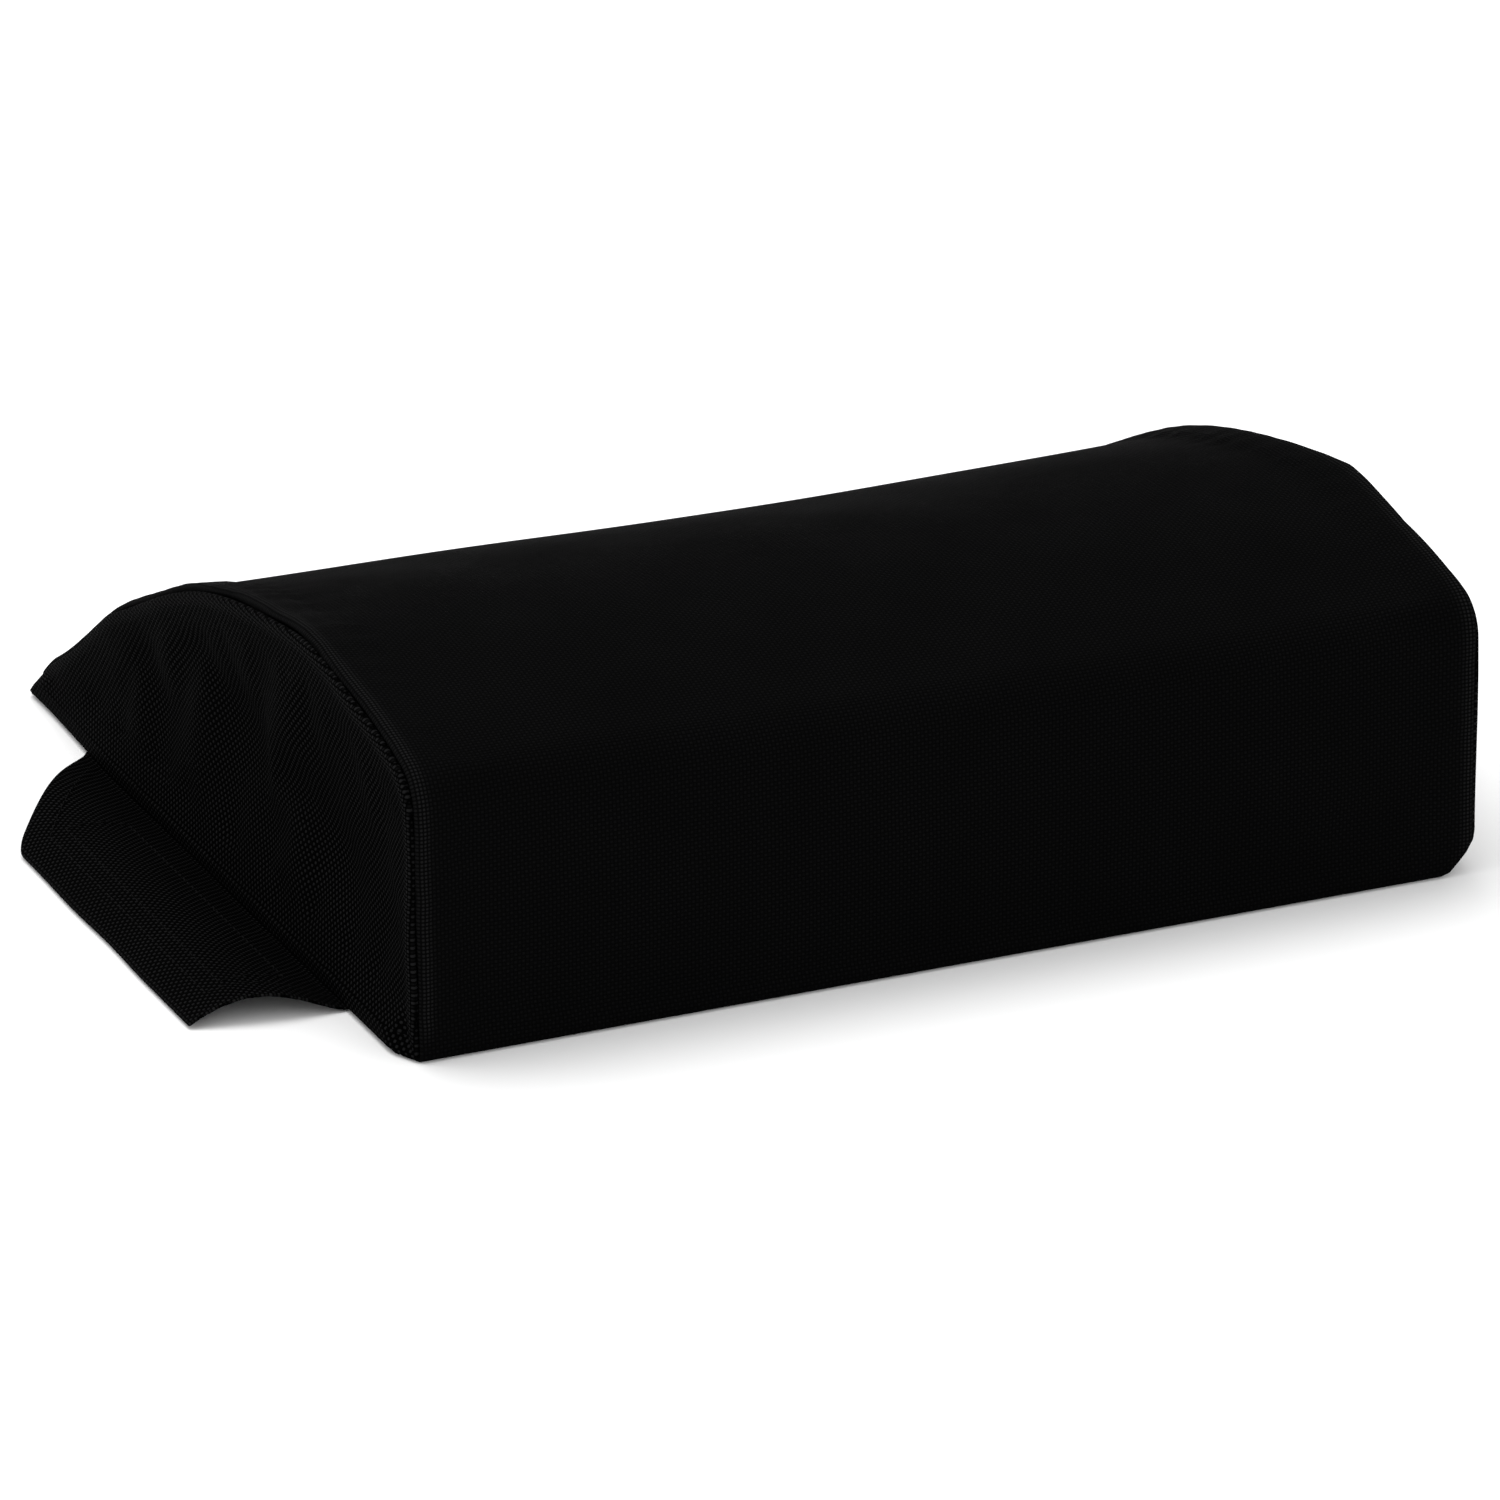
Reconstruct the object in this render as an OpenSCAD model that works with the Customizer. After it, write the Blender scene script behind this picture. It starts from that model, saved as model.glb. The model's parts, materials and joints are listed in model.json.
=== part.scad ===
// Bolster pillow: a zipped woven cover over wadding-wrapped foam, with a hook-and-loop fixing flap.
// Millimetres. +X runs along the pillow, +Y from the upright front wall to the low tail, +Z up.
// The origin is the middle of the base, on the surface that the pillow rests on.

/* [Body] */
// Length of the cover between the outer faces of its two end panels
body_l = 400; // [380:5:460]
// Depth from the front wall to the tail
body_d = 382; // [372:1:392]
// Height of the crown
body_h = 120; // [118:0.5:122]
// How far the crown lies behind the front wall
crown_y = 105; // [100:1:110]
// Radius of the crown
crown_r = 319; // [308:1:330]
// Angle of the back slope below the horizontal
slope_angle = 31; // [30:0.5:32]
// Angle of the tangent where the crown meets the front shoulder
shoulder_angle = 16; // [14:1:17]
// Radius of the front shoulder
shoulder_r = 19; // [12:1:20]
// How far the front wall leans back over its height
front_lean = 2; // [0:0.5:4]
// Radius of the front bottom edge
edge_r = 5; // [3:0.5:6]

/* [Cover and filling] */
// Thickness of the woven cover cloth
cloth_t = 1.2; // [1:0.1:1.4]
// Depth of the seam allowances that turn inside
allowance = 10; // [8:1:12]
// Thickness of the wadding round the foam
wadding_t = 9; // [7:0.5:10]
// Slack between the foam and the left end panel
left_slack = 12; // [8:1:20]

/* [Zip] */
// Length of the zip from stop to stop
zip_l = 352; // [260:2:352]
// Width of each zip tape
zip_tape_w = 7.8; // [7:0.1:8]
// Width of tape left showing beside the teeth
zip_tape_show = 2.6; // [2.4:0.1:2.8]
// Distance from one zip tooth to the next
tooth_pitch = 3; // [2.5:0.25:4]
// Length of the slider body
slider_l = 13; // [12:0.5:15]
// Length of the pull tab
pull_l = 28; // [22:1:32]

/* [Fixing flap] */
// Distance of the flap's near edge from the front wall
flap_near = 54; // [50:1:60]
// Length of the flap's sewn edge
flap_w = 265; // [255:1:268]
// Reach of the flap at its near edge
flap_reach = 60; // [58:1:64]
// Reach of the flap at its far corner
flap_far_reach = 57; // [56:1:58]
// How far the far edge runs in towards the free corner
flap_taper = 80; // [72:1:86]
// How far the near edge runs in towards the free corner
flap_skew = 9; // [4:1:12]
// Radius of the far corner
flap_corner_r = 9; // [4:1:12]
// Height of the flap's arch
flap_arch = 7.5; // [6:0.5:8]
// Thickness of the flap cloth
flap_t = 1.4; // [1.2:0.1:1.5]
// Width of the hook tape
hook_w = 28; // [22:1:28]
// Thickness of the hook tape
hook_t = 1.8; // [1.4:0.1:2]

/* [Thread] */
// Stitch length in the hidden seams
seam_stitch = 8; // [6:1:10]
// Stitch length in the top stitching
top_stitch = 4; // [4:0.5:6]
// Stitch length round the hook tape and the loop tape
tape_stitch = 6; // [4:0.5:8]
// Thickness of the thread
thread_d = 0.5; // [0.4:0.05:0.5]

/* [Hidden] */
gap = 0.3;               // clearance between pieces that move against each other
arc_step = 3;            // degrees between the points of a rounded corner
stitch_fill = 0.7;       // share of a stitch's length where the thread lies on the cloth
stitch_lift = 0.08;      // height of a straight stitch above the middle of a curved surface
tail_angle = 45;         // slope of the tail face
tail_face = 22;          // width of the slanted tail face that carries the zip
tail_r = 1.3;            // radius of the tail edge
zip_rise = 12.5;         // distance from the tail edge to the middle of the zip, up the tail face
zip_tape_t = 0.9;
tooth_w = 2.4;
tooth_h = 2;
web_t = 0.8;             // slider web that runs between the two rows of teeth
row_gap = web_t + 2 * gap;
plate_t = 1.1;           // thickness of the slider's plates
slider_w = 9;
rim_w = 1;               // width of the rims that hang from the slider's top plate
stop_l = 3;              // length of a zip stop
tape_tail = 12;          // length of zip tape beyond each stop
bail_w = 1.6;            // the bail is the bridge on the slider that holds the pull
bail_half = 4;
pin_r = 0.7;             // the pull's cross bar, under the bail
pull_w = 7;
pull_t = 1.4;
hook_margin = 16;        // distance from the flap's hinge to the hook tape
hook_end = 10;           // distance from the ends of the flap to the hook tape
loop_t = 1;
loop_grow = 2;           // how much further the loop tape reaches than the hook tape, all round
stitch_inset = 2;        // distance from a tape's edge to its stitching
hem = 11;                // width of the flap's hem

half_l = body_l / 2;
y_front = -body_d / 2;
y_back = body_d / 2;
zip_y = y_back - zip_rise * cos(tail_angle);
zip_z = zip_rise * sin(tail_angle);
zip_x0 = -zip_l / 2;
zip_x1 = zip_l / 2;
zip_window = row_gap + 2 * (tooth_w + zip_tape_show);
zip_row_y = zip_window / 2 + 1.4;       // distance from the middle of the zip to its stitching
slider_x = zip_x0 + stop_l + gap + slider_l / 2;
plate_z = tooth_h - cloth_t + gap;      // underside of the slider's top plate, in the zip's frame
bail_z = plate_z + plate_t + 2 * (gap + pin_r);
pin_z = plate_z + plate_t + gap + pin_r;
fill_inset = 2 * cloth_t + thread_d + 2 * gap;
hinge_x = -half_l - 1.5;
hinge_z = 0.2;
flap_start = 1.2;                       // distance from the hinge to the edge of the flap
flap_rest_z = hinge_z + flap_t / 2 + 0.2; // height of the middle of the flap cloth at both its edges
flap_y0 = y_front + flap_near;
flap_y1 = flap_y0 + flap_w;
hook_y0 = flap_y0 + flap_skew + hook_end;
hook_y1 = flap_y1 - flap_taper - hook_end;
loop_z = thread_d + 0.1;                // underside of the loop tape

module cloth_black() color([0.035, 0.035, 0.037]) children();
module thread_black() color([0.06, 0.06, 0.065]) children();

// ---- cross-section, as points [y, z] ----

function unit(v) = v / norm(v);
function left_of(v) = [-v[1], v[0]];
function cross2(a, b) = a[0] * b[1] - a[1] * b[0];
function meet(p, u, q, v) = p + u * cross2(q - p, v) / cross2(u, v);

crown_centre = [y_front + crown_y, body_h - crown_r];
function on_crown(a) = crown_centre + crown_r * [sin(a), cos(a)];
shoulder_line = [cos(shoulder_angle), sin(shoulder_angle)];
slope_line = [cos(slope_angle), -sin(slope_angle)];
front_line = unit([front_lean, body_h]);
shoulder_top = meet([y_front, 0], front_line, on_crown(-shoulder_angle), shoulder_line);
crown_top = meet(on_crown(-shoulder_angle), shoulder_line, on_crown(slope_angle), slope_line);
tail_top = meet(crown_top, slope_line, [y_back, 0], [-cos(tail_angle), sin(tail_angle)]);
slope_foot = meet(crown_top, slope_line, [0, 0], [1, 0]);

// Corners of the section, anticlockwise, as [point, radius].
front_foot_corner = [[y_front, 0], edge_r];
upper_corners = [[crown_top, crown_r], [shoulder_top, shoulder_r]];
cover_corners = concat([front_foot_corner, [[y_back, 0], tail_r], [tail_top, 5]], upper_corners);
core_corners = concat([front_foot_corner, [slope_foot, 5]], upper_corners);

// One rounded corner of a section that is moved inwards by t.
function rounded_corner(c, i, t) =
    let(n = len(c), p = c[i][0], r = c[i][1],
        u = unit(p - c[(i + n - 1) % n][0]), v = unit(c[(i + 1) % n][0] - p),
        turn = acos(u * v), start = atan2(u[1], u[0]) - 90,
        keep = max(r - t, 0.2),
        centre = p + unit(v - u) * (t + keep) / cos(turn / 2),
        steps = max(2, ceil(turn / arc_step)))
    [for (k = [0:steps]) let(a = start + turn * k / steps) centre + keep * [cos(a), sin(a)]];
function section(c, t = 0) = [for (i = [0:len(c) - 1]) each rounded_corner(c, i, t)];

// Extrudes a section drawn in Y and Z along X.
module along_x(x0, x1) translate([x0, 0, 0]) rotate([90, 0, 90]) linear_extrude(x1 - x0) children();
module ring(t0, t1) difference() { polygon(section(cover_corners, t0)); polygon(section(cover_corners, t1)); }
module rect(y0, y1, z0, z1) translate([y0, z0]) square([y1 - y0, z1 - z0]);
module block(x0, x1, y0, y1, z0, z1) translate([x0, y0, z0]) cube([x1 - x0, y1 - y0, z1 - z0]);
module mirror_if(yes, v) mirror(yes ? v : [0, 0, 0]) children();

// The zip's frame: X along the zip, Y down the tail face, Z out of it, with z = 0 on the cloth.
module at_zip() translate([0, zip_y, zip_z]) rotate([-tail_angle, 0, 0]) children();

// The gap in the cover where the zip shows, drawn in the section.
module zip_window_2d()
    translate([zip_y, zip_z]) rotate(-tail_angle) square([zip_window, 3 * cloth_t], center = true);

// ---- thread ----

// One stitch from p to q, with its underside on the cloth or centred on the line between them.
module stitch(p, q, centred) {
    d = q - p;
    translate(p) rotate([0, -asin(d[2] / norm(d)), atan2(d[1], d[0])])
        translate([0, -thread_d / 2, centred ? -thread_d / 2 : 0]) cube([norm(d), thread_d, thread_d]);
}

// Equal stitches along a path of 3-D points, without any that would cut across a corner of it.
module stitches(path, pitch, centred = false) {
    far = [for (i = 0, s = 0; i < len(path);
                s = s + (i + 1 < len(path) ? norm(path[i + 1] - path[i]) : 0), i = i + 1) s];
    total = far[len(far) - 1];
    n = floor(total / pitch);
    function at(s) = [for (a = [0:2]) lookup(s, [for (i = [0:len(path) - 1]) [far[i], path[i][a]]])];
    for (k = [0:n - 1])
        let(s = (k + (1 - stitch_fill) / 2) * total / n, e = s + stitch_fill * total / n, p = at(s), q = at(e))
            if (norm((p + q) / 2 - at((s + e) / 2)) < gap) stitch(p, q, centred);
}

// ---- cover ----

module wrap_panel() cloth_black()
    along_x(-half_l + cloth_t, half_l - cloth_t) difference() {
        ring(0, cloth_t);
        rect(y_front - 1, zip_y, -1, cloth_t);
        rect(zip_y - tail_face, y_back + 1, -1, zip_z);
        zip_window_2d();
    }

// The bed is the raised part of the base that the loop tape presses into.
module loop_bed(grow, z0, z1)
    block(hinge_x + hook_margin - loop_grow - grow, hinge_x + hook_margin + hook_w + loop_grow + grow,
          hook_y0 - loop_grow - grow, hook_y1 + loop_grow + grow, z0, z1);

module base_panel() cloth_black() {
    difference() {
        along_x(-half_l + cloth_t, half_l - cloth_t) difference() {
            ring(0, cloth_t);
            rect(y_front - 1, zip_y - tail_face, cloth_t, body_h + 1);
            rect(zip_y - tail_face - 1, y_back + 1, zip_z, body_h + 1);
            zip_window_2d();
        }
        loop_bed(0, -1, 3 * cloth_t);
    }
    difference() {
        loop_bed(cloth_t, cloth_t, loop_z + loop_t + cloth_t);
        loop_bed(0, 0, loop_z + loop_t);
    }
    along_x(-half_l + allowance, half_l - allowance) intersection() {
        ring(cloth_t, 2 * cloth_t);
        rect(y_front, y_front + edge_r + allowance, cloth_t, allowance);
    }
}

// An end panel with its turned allowance, drawn for the left end.
module end_panel() {
    along_x(-half_l, -half_l + cloth_t) polygon(section(cover_corners));
    along_x(-half_l + cloth_t, -half_l + allowance) ring(cloth_t, 2 * cloth_t);
}

module left_end_panel() cloth_black() end_panel();
module right_end_panel() cloth_black() mirror([1, 0, 0]) end_panel();

// The thread of an end seam, in the middle of the space between the seam allowance and the filling.
module end_seam_thread() {
    points = section(cover_corners, 2 * cloth_t + gap / 2 + thread_d / 2);
    along_seam = [for (p = concat(points, [points[0]])) [-half_l + allowance / 2, p[0], p[1]]];
    stitches(along_seam, seam_stitch, true);
}

module left_end_seam_thread() thread_black() end_seam_thread();
module right_end_seam_thread() thread_black() mirror([1, 0, 0]) end_seam_thread();

module front_seam_thread() {
    y = y_front + 2 * cloth_t + thread_d;
    thread_black() stitches([[-half_l + allowance + 4, y, allowance - 3], [half_l - allowance - 4, y, allowance - 3]],
                            seam_stitch);
}

// ---- filling ----

module foam_section() polygon(section(core_corners, fill_inset + wadding_t));

module wadding_wrap() color([0.93, 0.93, 0.9]) difference() {
    along_x(-half_l + cloth_t + left_slack, half_l - cloth_t) difference() {
        polygon(section(cover_corners, fill_inset));
        foam_section();
    }
    at_zip() block(-half_l, half_l, -tail_face, tail_face,
                   -cloth_t - zip_tape_t - plate_t - 3 * gap, tail_face);
}

module foam_core() color([0.9, 0.86, 0.7])
    along_x(-half_l + cloth_t + left_slack, half_l - cloth_t) foam_section();

// ---- zip: each half is drawn below the middle of the zip, and the upper one is its mirror image ----

module zip_tape() at_zip_cloth()
    block(zip_x0 - tape_tail, zip_x1 + tape_tail, row_gap / 2, row_gap / 2 + zip_tape_w, -zip_tape_t, 0);

// z = 0 on the zip tape instead of the cover.
module at_zip_cloth() translate([0, 0, -cloth_t]) children();

module zip_teeth(shift) at_zip_cloth()
    for (x = [zip_x0 + stop_l + 1 + shift:tooth_pitch:zip_x1 - stop_l - 2])
        translate([x, row_gap / 2, 0]) {
            cube([tooth_pitch * 0.6, tooth_w * 0.6, tooth_h]);
            translate([0, tooth_w * 0.6, 0]) cube([tooth_pitch * 0.6, tooth_w * 0.4, tooth_h * 0.6]);
        }

module zip_stop() at_zip_cloth() block(zip_x0, zip_x0 + stop_l, row_gap / 2, row_gap / 2 + tooth_w, 0, tooth_h);

module zip_stitching() stitches([[-half_l + allowance + 2, zip_row_y, 0], [half_l - allowance - 2, zip_row_y, 0]],
                                top_stitch);

module upper_half() at_zip() mirror([0, 1, 0]) children();

module zip_tape_lower() color([0.05, 0.05, 0.055]) at_zip() zip_tape();
module zip_tape_upper() color([0.05, 0.05, 0.055]) upper_half() zip_tape();
module zip_teeth_lower() color([0.08, 0.08, 0.085]) at_zip() zip_teeth(0);
module zip_teeth_upper() color([0.08, 0.08, 0.085]) upper_half() zip_teeth(tooth_pitch / 2);
module zip_thread_lower() thread_black() at_zip() zip_stitching();
module zip_thread_upper() thread_black() upper_half() zip_stitching();

module zip_top_stops() color("silver") at_zip() for (side = [0, 1]) mirror([0, side, 0]) zip_stop();

module zip_bottom_stop() color("silver") at_zip() at_zip_cloth()
    block(zip_x1 - stop_l, zip_x1, -row_gap / 2 - tooth_w, row_gap / 2 + tooth_w, 0, tooth_h);

module zip_end_tab() at_zip()
    block(zip_x1 + 1, half_l - cloth_t, -zip_window / 2, zip_window / 2, -cloth_t, 0);
module zip_end_tab_right() cloth_black() zip_end_tab();
module zip_end_tab_left() cloth_black() mirror([1, 0, 0]) zip_end_tab();

// A plate with round ends, standing on z = 0.
module round_plate(length, width, t) intersection() {
    block(-length / 2, length / 2, -width / 2, width / 2, 0, t);
    cylinder(h = t, r = length / 2 + 0.1, $fn = 64);
}

module zip_slider() color("silver") at_zip() translate([slider_x, 0, 0]) {
    translate([0, 0, plate_z]) round_plate(slider_l, slider_w, plate_t);
    for (side = [-1, 1])
        translate([0, side * (slider_w - rim_w) / 2, gap - cloth_t])
            block(-slider_l / 2 + 2, slider_l / 2 - 2, -rim_w / 2, rim_w / 2, 0, plate_z + cloth_t - gap);
    translate([0, 0, -cloth_t - zip_tape_t - gap - plate_t]) round_plate(slider_l, slider_w, plate_t);
    block(-slider_l / 4, slider_l / 4, -web_t / 2, web_t / 2, -cloth_t - zip_tape_t - gap, plate_z);
    for (side = [-1, 1])
        block(side * (bail_half - 0.5) - 0.5, side * (bail_half - 0.5) + 0.5, -bail_w / 2, bail_w / 2,
              plate_z + plate_t, bail_z + 1);
    block(-bail_half, bail_half, -bail_w / 2, bail_w / 2, bail_z, bail_z + 1);
}

// The pull lies along +X at rest, over the closed teeth.
module zip_pull() color("silver") at_zip() translate([slider_x, 0, pin_z]) {
    window = bail_half + 1.6;
    translate([0, pull_w / 2 - 1, 0]) rotate([90, 0, 0]) cylinder(h = pull_w - 2, r = pin_r, $fn = 32);
    translate([0, 0, -pull_t / 2]) linear_extrude(pull_t) difference() {
        union() {
            translate([0, -pull_w / 2 + 1]) square([window + 2, pull_w - 2]);
            translate([window, -pull_w / 2]) square([pull_l - window - pull_w / 2, pull_w]);
            translate([pull_l - pull_w / 2, 0]) circle(d = pull_w, $fn = 48);
        }
        translate([-1, -bail_w / 2 - 0.5]) square([window + 1, bail_w + 1]);
        translate([pull_l - pull_w / 2 - 0.5, 0]) circle(d = 2.6, $fn = 32);
    }
}

// ---- fixing flap ----

// Height of the middle of the flap cloth at distance r from the hinge, in straight steps that all
// the pieces on the flap share.
flap_rs = [for (k = [0:16]) flap_start + (flap_reach - flap_start) * k / 16];
function arch_rise(r) = let(a = (2 * r - flap_start - flap_reach) / (flap_reach - flap_start)) 1 - a * a;
arch_steps = [for (r = flap_rs) [r, flap_rest_z + flap_arch * arch_rise(r)]];
function arch_z(r) = lookup(r, arch_steps);

// A strip that follows the arch from r0 to r1, between two offsets from the middle of the cloth.
module arch_strip(r0, r1, low, high, y0, y1) {
    rs = concat([r0], [for (r = flap_rs) if (r > r0 && r < r1) r], [r1]);
    n = len(rs) - 1;
    translate([hinge_x, y1, 0]) rotate([90, 0, 0]) linear_extrude(y1 - y0) polygon(concat(
        [for (r = rs) [-r, arch_z(r) + low]], [for (k = [n:-1:0]) [-rs[k], arch_z(rs[k]) + high]]));
}

// Plan of the flap as points [distance from the hinge, y], with its far corner rounded.
flap_near_corner = [flap_reach, flap_y0 + flap_skew];
flap_far_corner = [flap_far_reach, flap_y1 - flap_taper];
flap_round = let(c = flap_far_corner, p = unit([flap_start, flap_y1] - c), q = unit(flap_near_corner - c))
    [for (k = [0:6]) let(w = k / 6) c + flap_corner_r * (p * (1 - w) * (1 - w) + q * w * w)];
flap_plan = concat([[flap_start, flap_y0], [flap_start, flap_y1]], flap_round, [flap_near_corner]);

module fixing_flap() cloth_black() intersection() {
    arch_strip(flap_start, flap_reach, -flap_t / 2, flap_t / 2, flap_y0, flap_y1);
    translate([hinge_x, 0, -1]) linear_extrude(flap_arch + 5) mirror([1, 0, 0]) polygon(flap_plan);
}

module hook_tape() color([0.05, 0.05, 0.05])
    arch_strip(hook_margin, hook_margin + hook_w, -flap_t / 2 - hook_t, -flap_t / 2, hook_y0, hook_y1);

module loop_tape() color([0.05, 0.05, 0.05])
    block(hinge_x + hook_margin - loop_grow, hinge_x + hook_margin + hook_w + loop_grow,
          hook_y0 - loop_grow, hook_y1 + loop_grow, loop_z, loop_z + loop_t);

// A point on top of the flap.
function on_flap(r, y) = [hinge_x - r, y, arch_z(r) + flap_t / 2 + stitch_lift];
function run(p, q, n = 12) = [for (k = [0:n]) p + (q - p) * k / n];

module flap_hem_thread() {
    near = [for (p = run([6, flap_y0 + hem], flap_near_corner - [hem, -hem])) on_flap(p[0], p[1])];
    free = [for (p = run(flap_near_corner - [hem, -hem], flap_far_corner - [hem, hem / 2])) on_flap(p[0], p[1])];
    far = [for (p = run(flap_far_corner - [hem, hem / 2], [6, flap_y1 - 2 * hem])) on_flap(p[0], p[1])];
    thread_black() {
        stitches(near, top_stitch);
        stitches(free, top_stitch);
        stitches(far, top_stitch);
    }
}

module hook_tape_thread() {
    r0 = hook_margin + stitch_inset;
    r1 = hook_margin + hook_w - stitch_inset;
    y0 = hook_y0 + stitch_inset;
    y1 = hook_y1 - stitch_inset;
    thread_black() for (side = [[[r0, y0], [r0, y1]], [[r0, y1], [r1, y1]], [[r1, y1], [r1, y0]], [[r1, y0], [r0, y0]]])
        stitches([for (p = run(side[0], side[1])) on_flap(p[0], p[1])], tape_stitch);
}

module loop_tape_thread() {
    x0 = hinge_x + hook_margin;
    x1 = x0 + hook_w;
    z = loop_z - thread_d;
    thread_black() for (side = [[[x0, hook_y0, z], [x0, hook_y1, z]], [[x0, hook_y1, z], [x1, hook_y1, z]],
                                [[x1, hook_y1, z], [x1, hook_y0, z]], [[x1, hook_y0, z], [x0, hook_y0, z]]])
        stitches(side, tape_stitch);
}

wrap_panel();
base_panel();
left_end_panel();
right_end_panel();
foam_core();
wadding_wrap();
zip_tape_upper();
zip_tape_lower();
zip_teeth_upper();
zip_teeth_lower();
zip_top_stops();
zip_bottom_stop();
zip_end_tab_left();
zip_end_tab_right();
zip_slider();
zip_pull();
fixing_flap();
hook_tape();
loop_tape();
left_end_seam_thread();
right_end_seam_thread();
front_seam_thread();
zip_thread_upper();
zip_thread_lower();
flap_hem_thread();
hook_tape_thread();
loop_tape_thread();
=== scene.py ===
"""Looks of the zipped, woven bolster pillow with a fixing flap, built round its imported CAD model.

Lengths are in metres. +X runs along the pillow, +Y from the front wall to the tail, +Z up.
"""
import json
import math
import random

import bpy
import numpy as np
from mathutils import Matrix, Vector


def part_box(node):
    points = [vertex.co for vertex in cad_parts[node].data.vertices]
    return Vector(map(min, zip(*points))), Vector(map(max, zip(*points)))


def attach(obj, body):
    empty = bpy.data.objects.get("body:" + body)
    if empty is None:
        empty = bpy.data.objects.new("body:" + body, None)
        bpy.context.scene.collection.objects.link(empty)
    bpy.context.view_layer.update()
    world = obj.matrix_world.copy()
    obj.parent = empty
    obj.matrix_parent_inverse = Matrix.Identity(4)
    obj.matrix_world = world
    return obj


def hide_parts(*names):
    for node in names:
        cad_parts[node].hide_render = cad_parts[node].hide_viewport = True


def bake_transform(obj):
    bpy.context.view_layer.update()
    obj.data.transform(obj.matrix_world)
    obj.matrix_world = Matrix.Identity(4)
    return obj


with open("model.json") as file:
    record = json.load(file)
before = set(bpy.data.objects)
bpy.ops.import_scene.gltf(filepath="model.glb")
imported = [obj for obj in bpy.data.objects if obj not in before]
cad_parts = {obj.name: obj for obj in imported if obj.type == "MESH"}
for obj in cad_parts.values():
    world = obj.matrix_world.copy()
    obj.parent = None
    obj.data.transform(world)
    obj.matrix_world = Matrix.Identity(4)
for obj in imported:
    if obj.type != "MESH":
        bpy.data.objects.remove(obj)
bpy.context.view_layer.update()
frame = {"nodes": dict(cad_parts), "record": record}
MM = 0.001

# ---- places from the frame ----

left_lo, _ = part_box("left_end_panel")
_, right_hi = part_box("right_end_panel")
wrap_lo, wrap_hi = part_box("wrap_panel")
X0, X1 = left_lo.x, right_hi.x                    # the two end seams
Y_FRONT = wrap_lo.y
BODY_D = 382 * MM
Y_BACK = Y_FRONT + BODY_D
FULLER = 1.2 * MM                                 # how much fuller the cloth stands than the CAD solid
BODY_H = wrap_hi.z + FULLER

# The section's design values, as in the CAD model.
CROWN_Y = 105 * MM
CROWN_R = 319 * MM
SLOPE = math.radians(31)
SHOULDER = math.radians(16)
SHOULDER_R = 19 * MM
FRONT_LEAN = 2 * MM
TAIL_ANGLE = math.radians(45)
ZIP_RISE = 12.5 * MM
ZIP_HALF = 5.7 * MM                               # half the gap in the cover where the zip shows
FOOT_R, TIP_R, TAIL_TOP_R = 1.8 * MM, 1 * MM, 6 * MM

YARN = 1.45 * MM                                  # distance between neighbouring yarns
YARN_DRIFT = 0.72                                 # how far yarns wander, in yarns
PANEL_T = 1.0 * MM                                # thickness of the cover's modelled cloth
LOWEST = 0.15 * MM                                # lowest place of the wrap's and the ends' outer face


# ---- camera, light and floor ----

CAMERA_AZIMUTH, CAMERA_ELEVATION = math.radians(-24.33), math.radians(22.18)
CAMERA_DISTANCE = 3.5
VIEW_WIDTH = 552.4 * MM                           # width of the picture at the target
WORLD_STRENGTH = 0.86
FLOOR_HALF = 12


def add_camera():
    """A long lens at the picture's angle."""
    azimuth, elevation = CAMERA_AZIMUTH, CAMERA_ELEVATION
    back = Vector((math.sin(azimuth) * math.cos(elevation), -math.cos(azimuth) * math.cos(elevation),
                   math.sin(elevation)))
    target = Vector((8.2, -9, 15)) * MM
    cam_data = bpy.data.cameras.new("camera")
    cam_data.sensor_width = 36
    cam_data.lens = cam_data.sensor_width * CAMERA_DISTANCE / VIEW_WIDTH
    cam = bpy.data.objects.new("camera", cam_data)
    cam.location = target + back * CAMERA_DISTANCE
    cam.rotation_mode = "QUATERNION"
    cam.rotation_quaternion = (-back).to_track_quat("-Z", "Y")
    bpy.context.collection.objects.link(cam)
    bpy.context.scene.camera = cam
    bpy.context.scene.view_settings.view_transform = "Standard"


def add_softbox(name, place, size, power):
    """A rectangular light that faces the pillow."""
    light = bpy.data.lights.new(name, "AREA")
    light.shape, light.energy = "RECTANGLE", power
    light.size, light.size_y = size
    ob = bpy.data.objects.new(name, light)
    ob.location = place
    ob.rotation_mode = "QUATERNION"
    ob.rotation_quaternion = (-Vector(place)).to_track_quat("-Z", "Y")
    bpy.context.collection.objects.link(ob)


def add_floor():
    mesh = bpy.data.meshes.new("floor")
    r = FLOOR_HALF
    mesh.from_pydata([(-r, -r, 0), (r, -r, 0), (r, r, 0), (-r, r, 0)], [], [(0, 1, 2, 3)])
    floor = bpy.data.objects.new("floor", mesh)
    bpy.context.collection.objects.link(floor)
    mat = bpy.data.materials.new("floor_white")
    mat.use_nodes = True
    shader = mat.node_tree.nodes["Principled BSDF"]
    shader.inputs["Base Color"].default_value = (0.95, 0.95, 0.95, 1)
    shader.inputs["Roughness"].default_value = 0.9
    shader.inputs["Specular IOR Level"].default_value = 0.1
    mesh.materials.append(mat)


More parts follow.
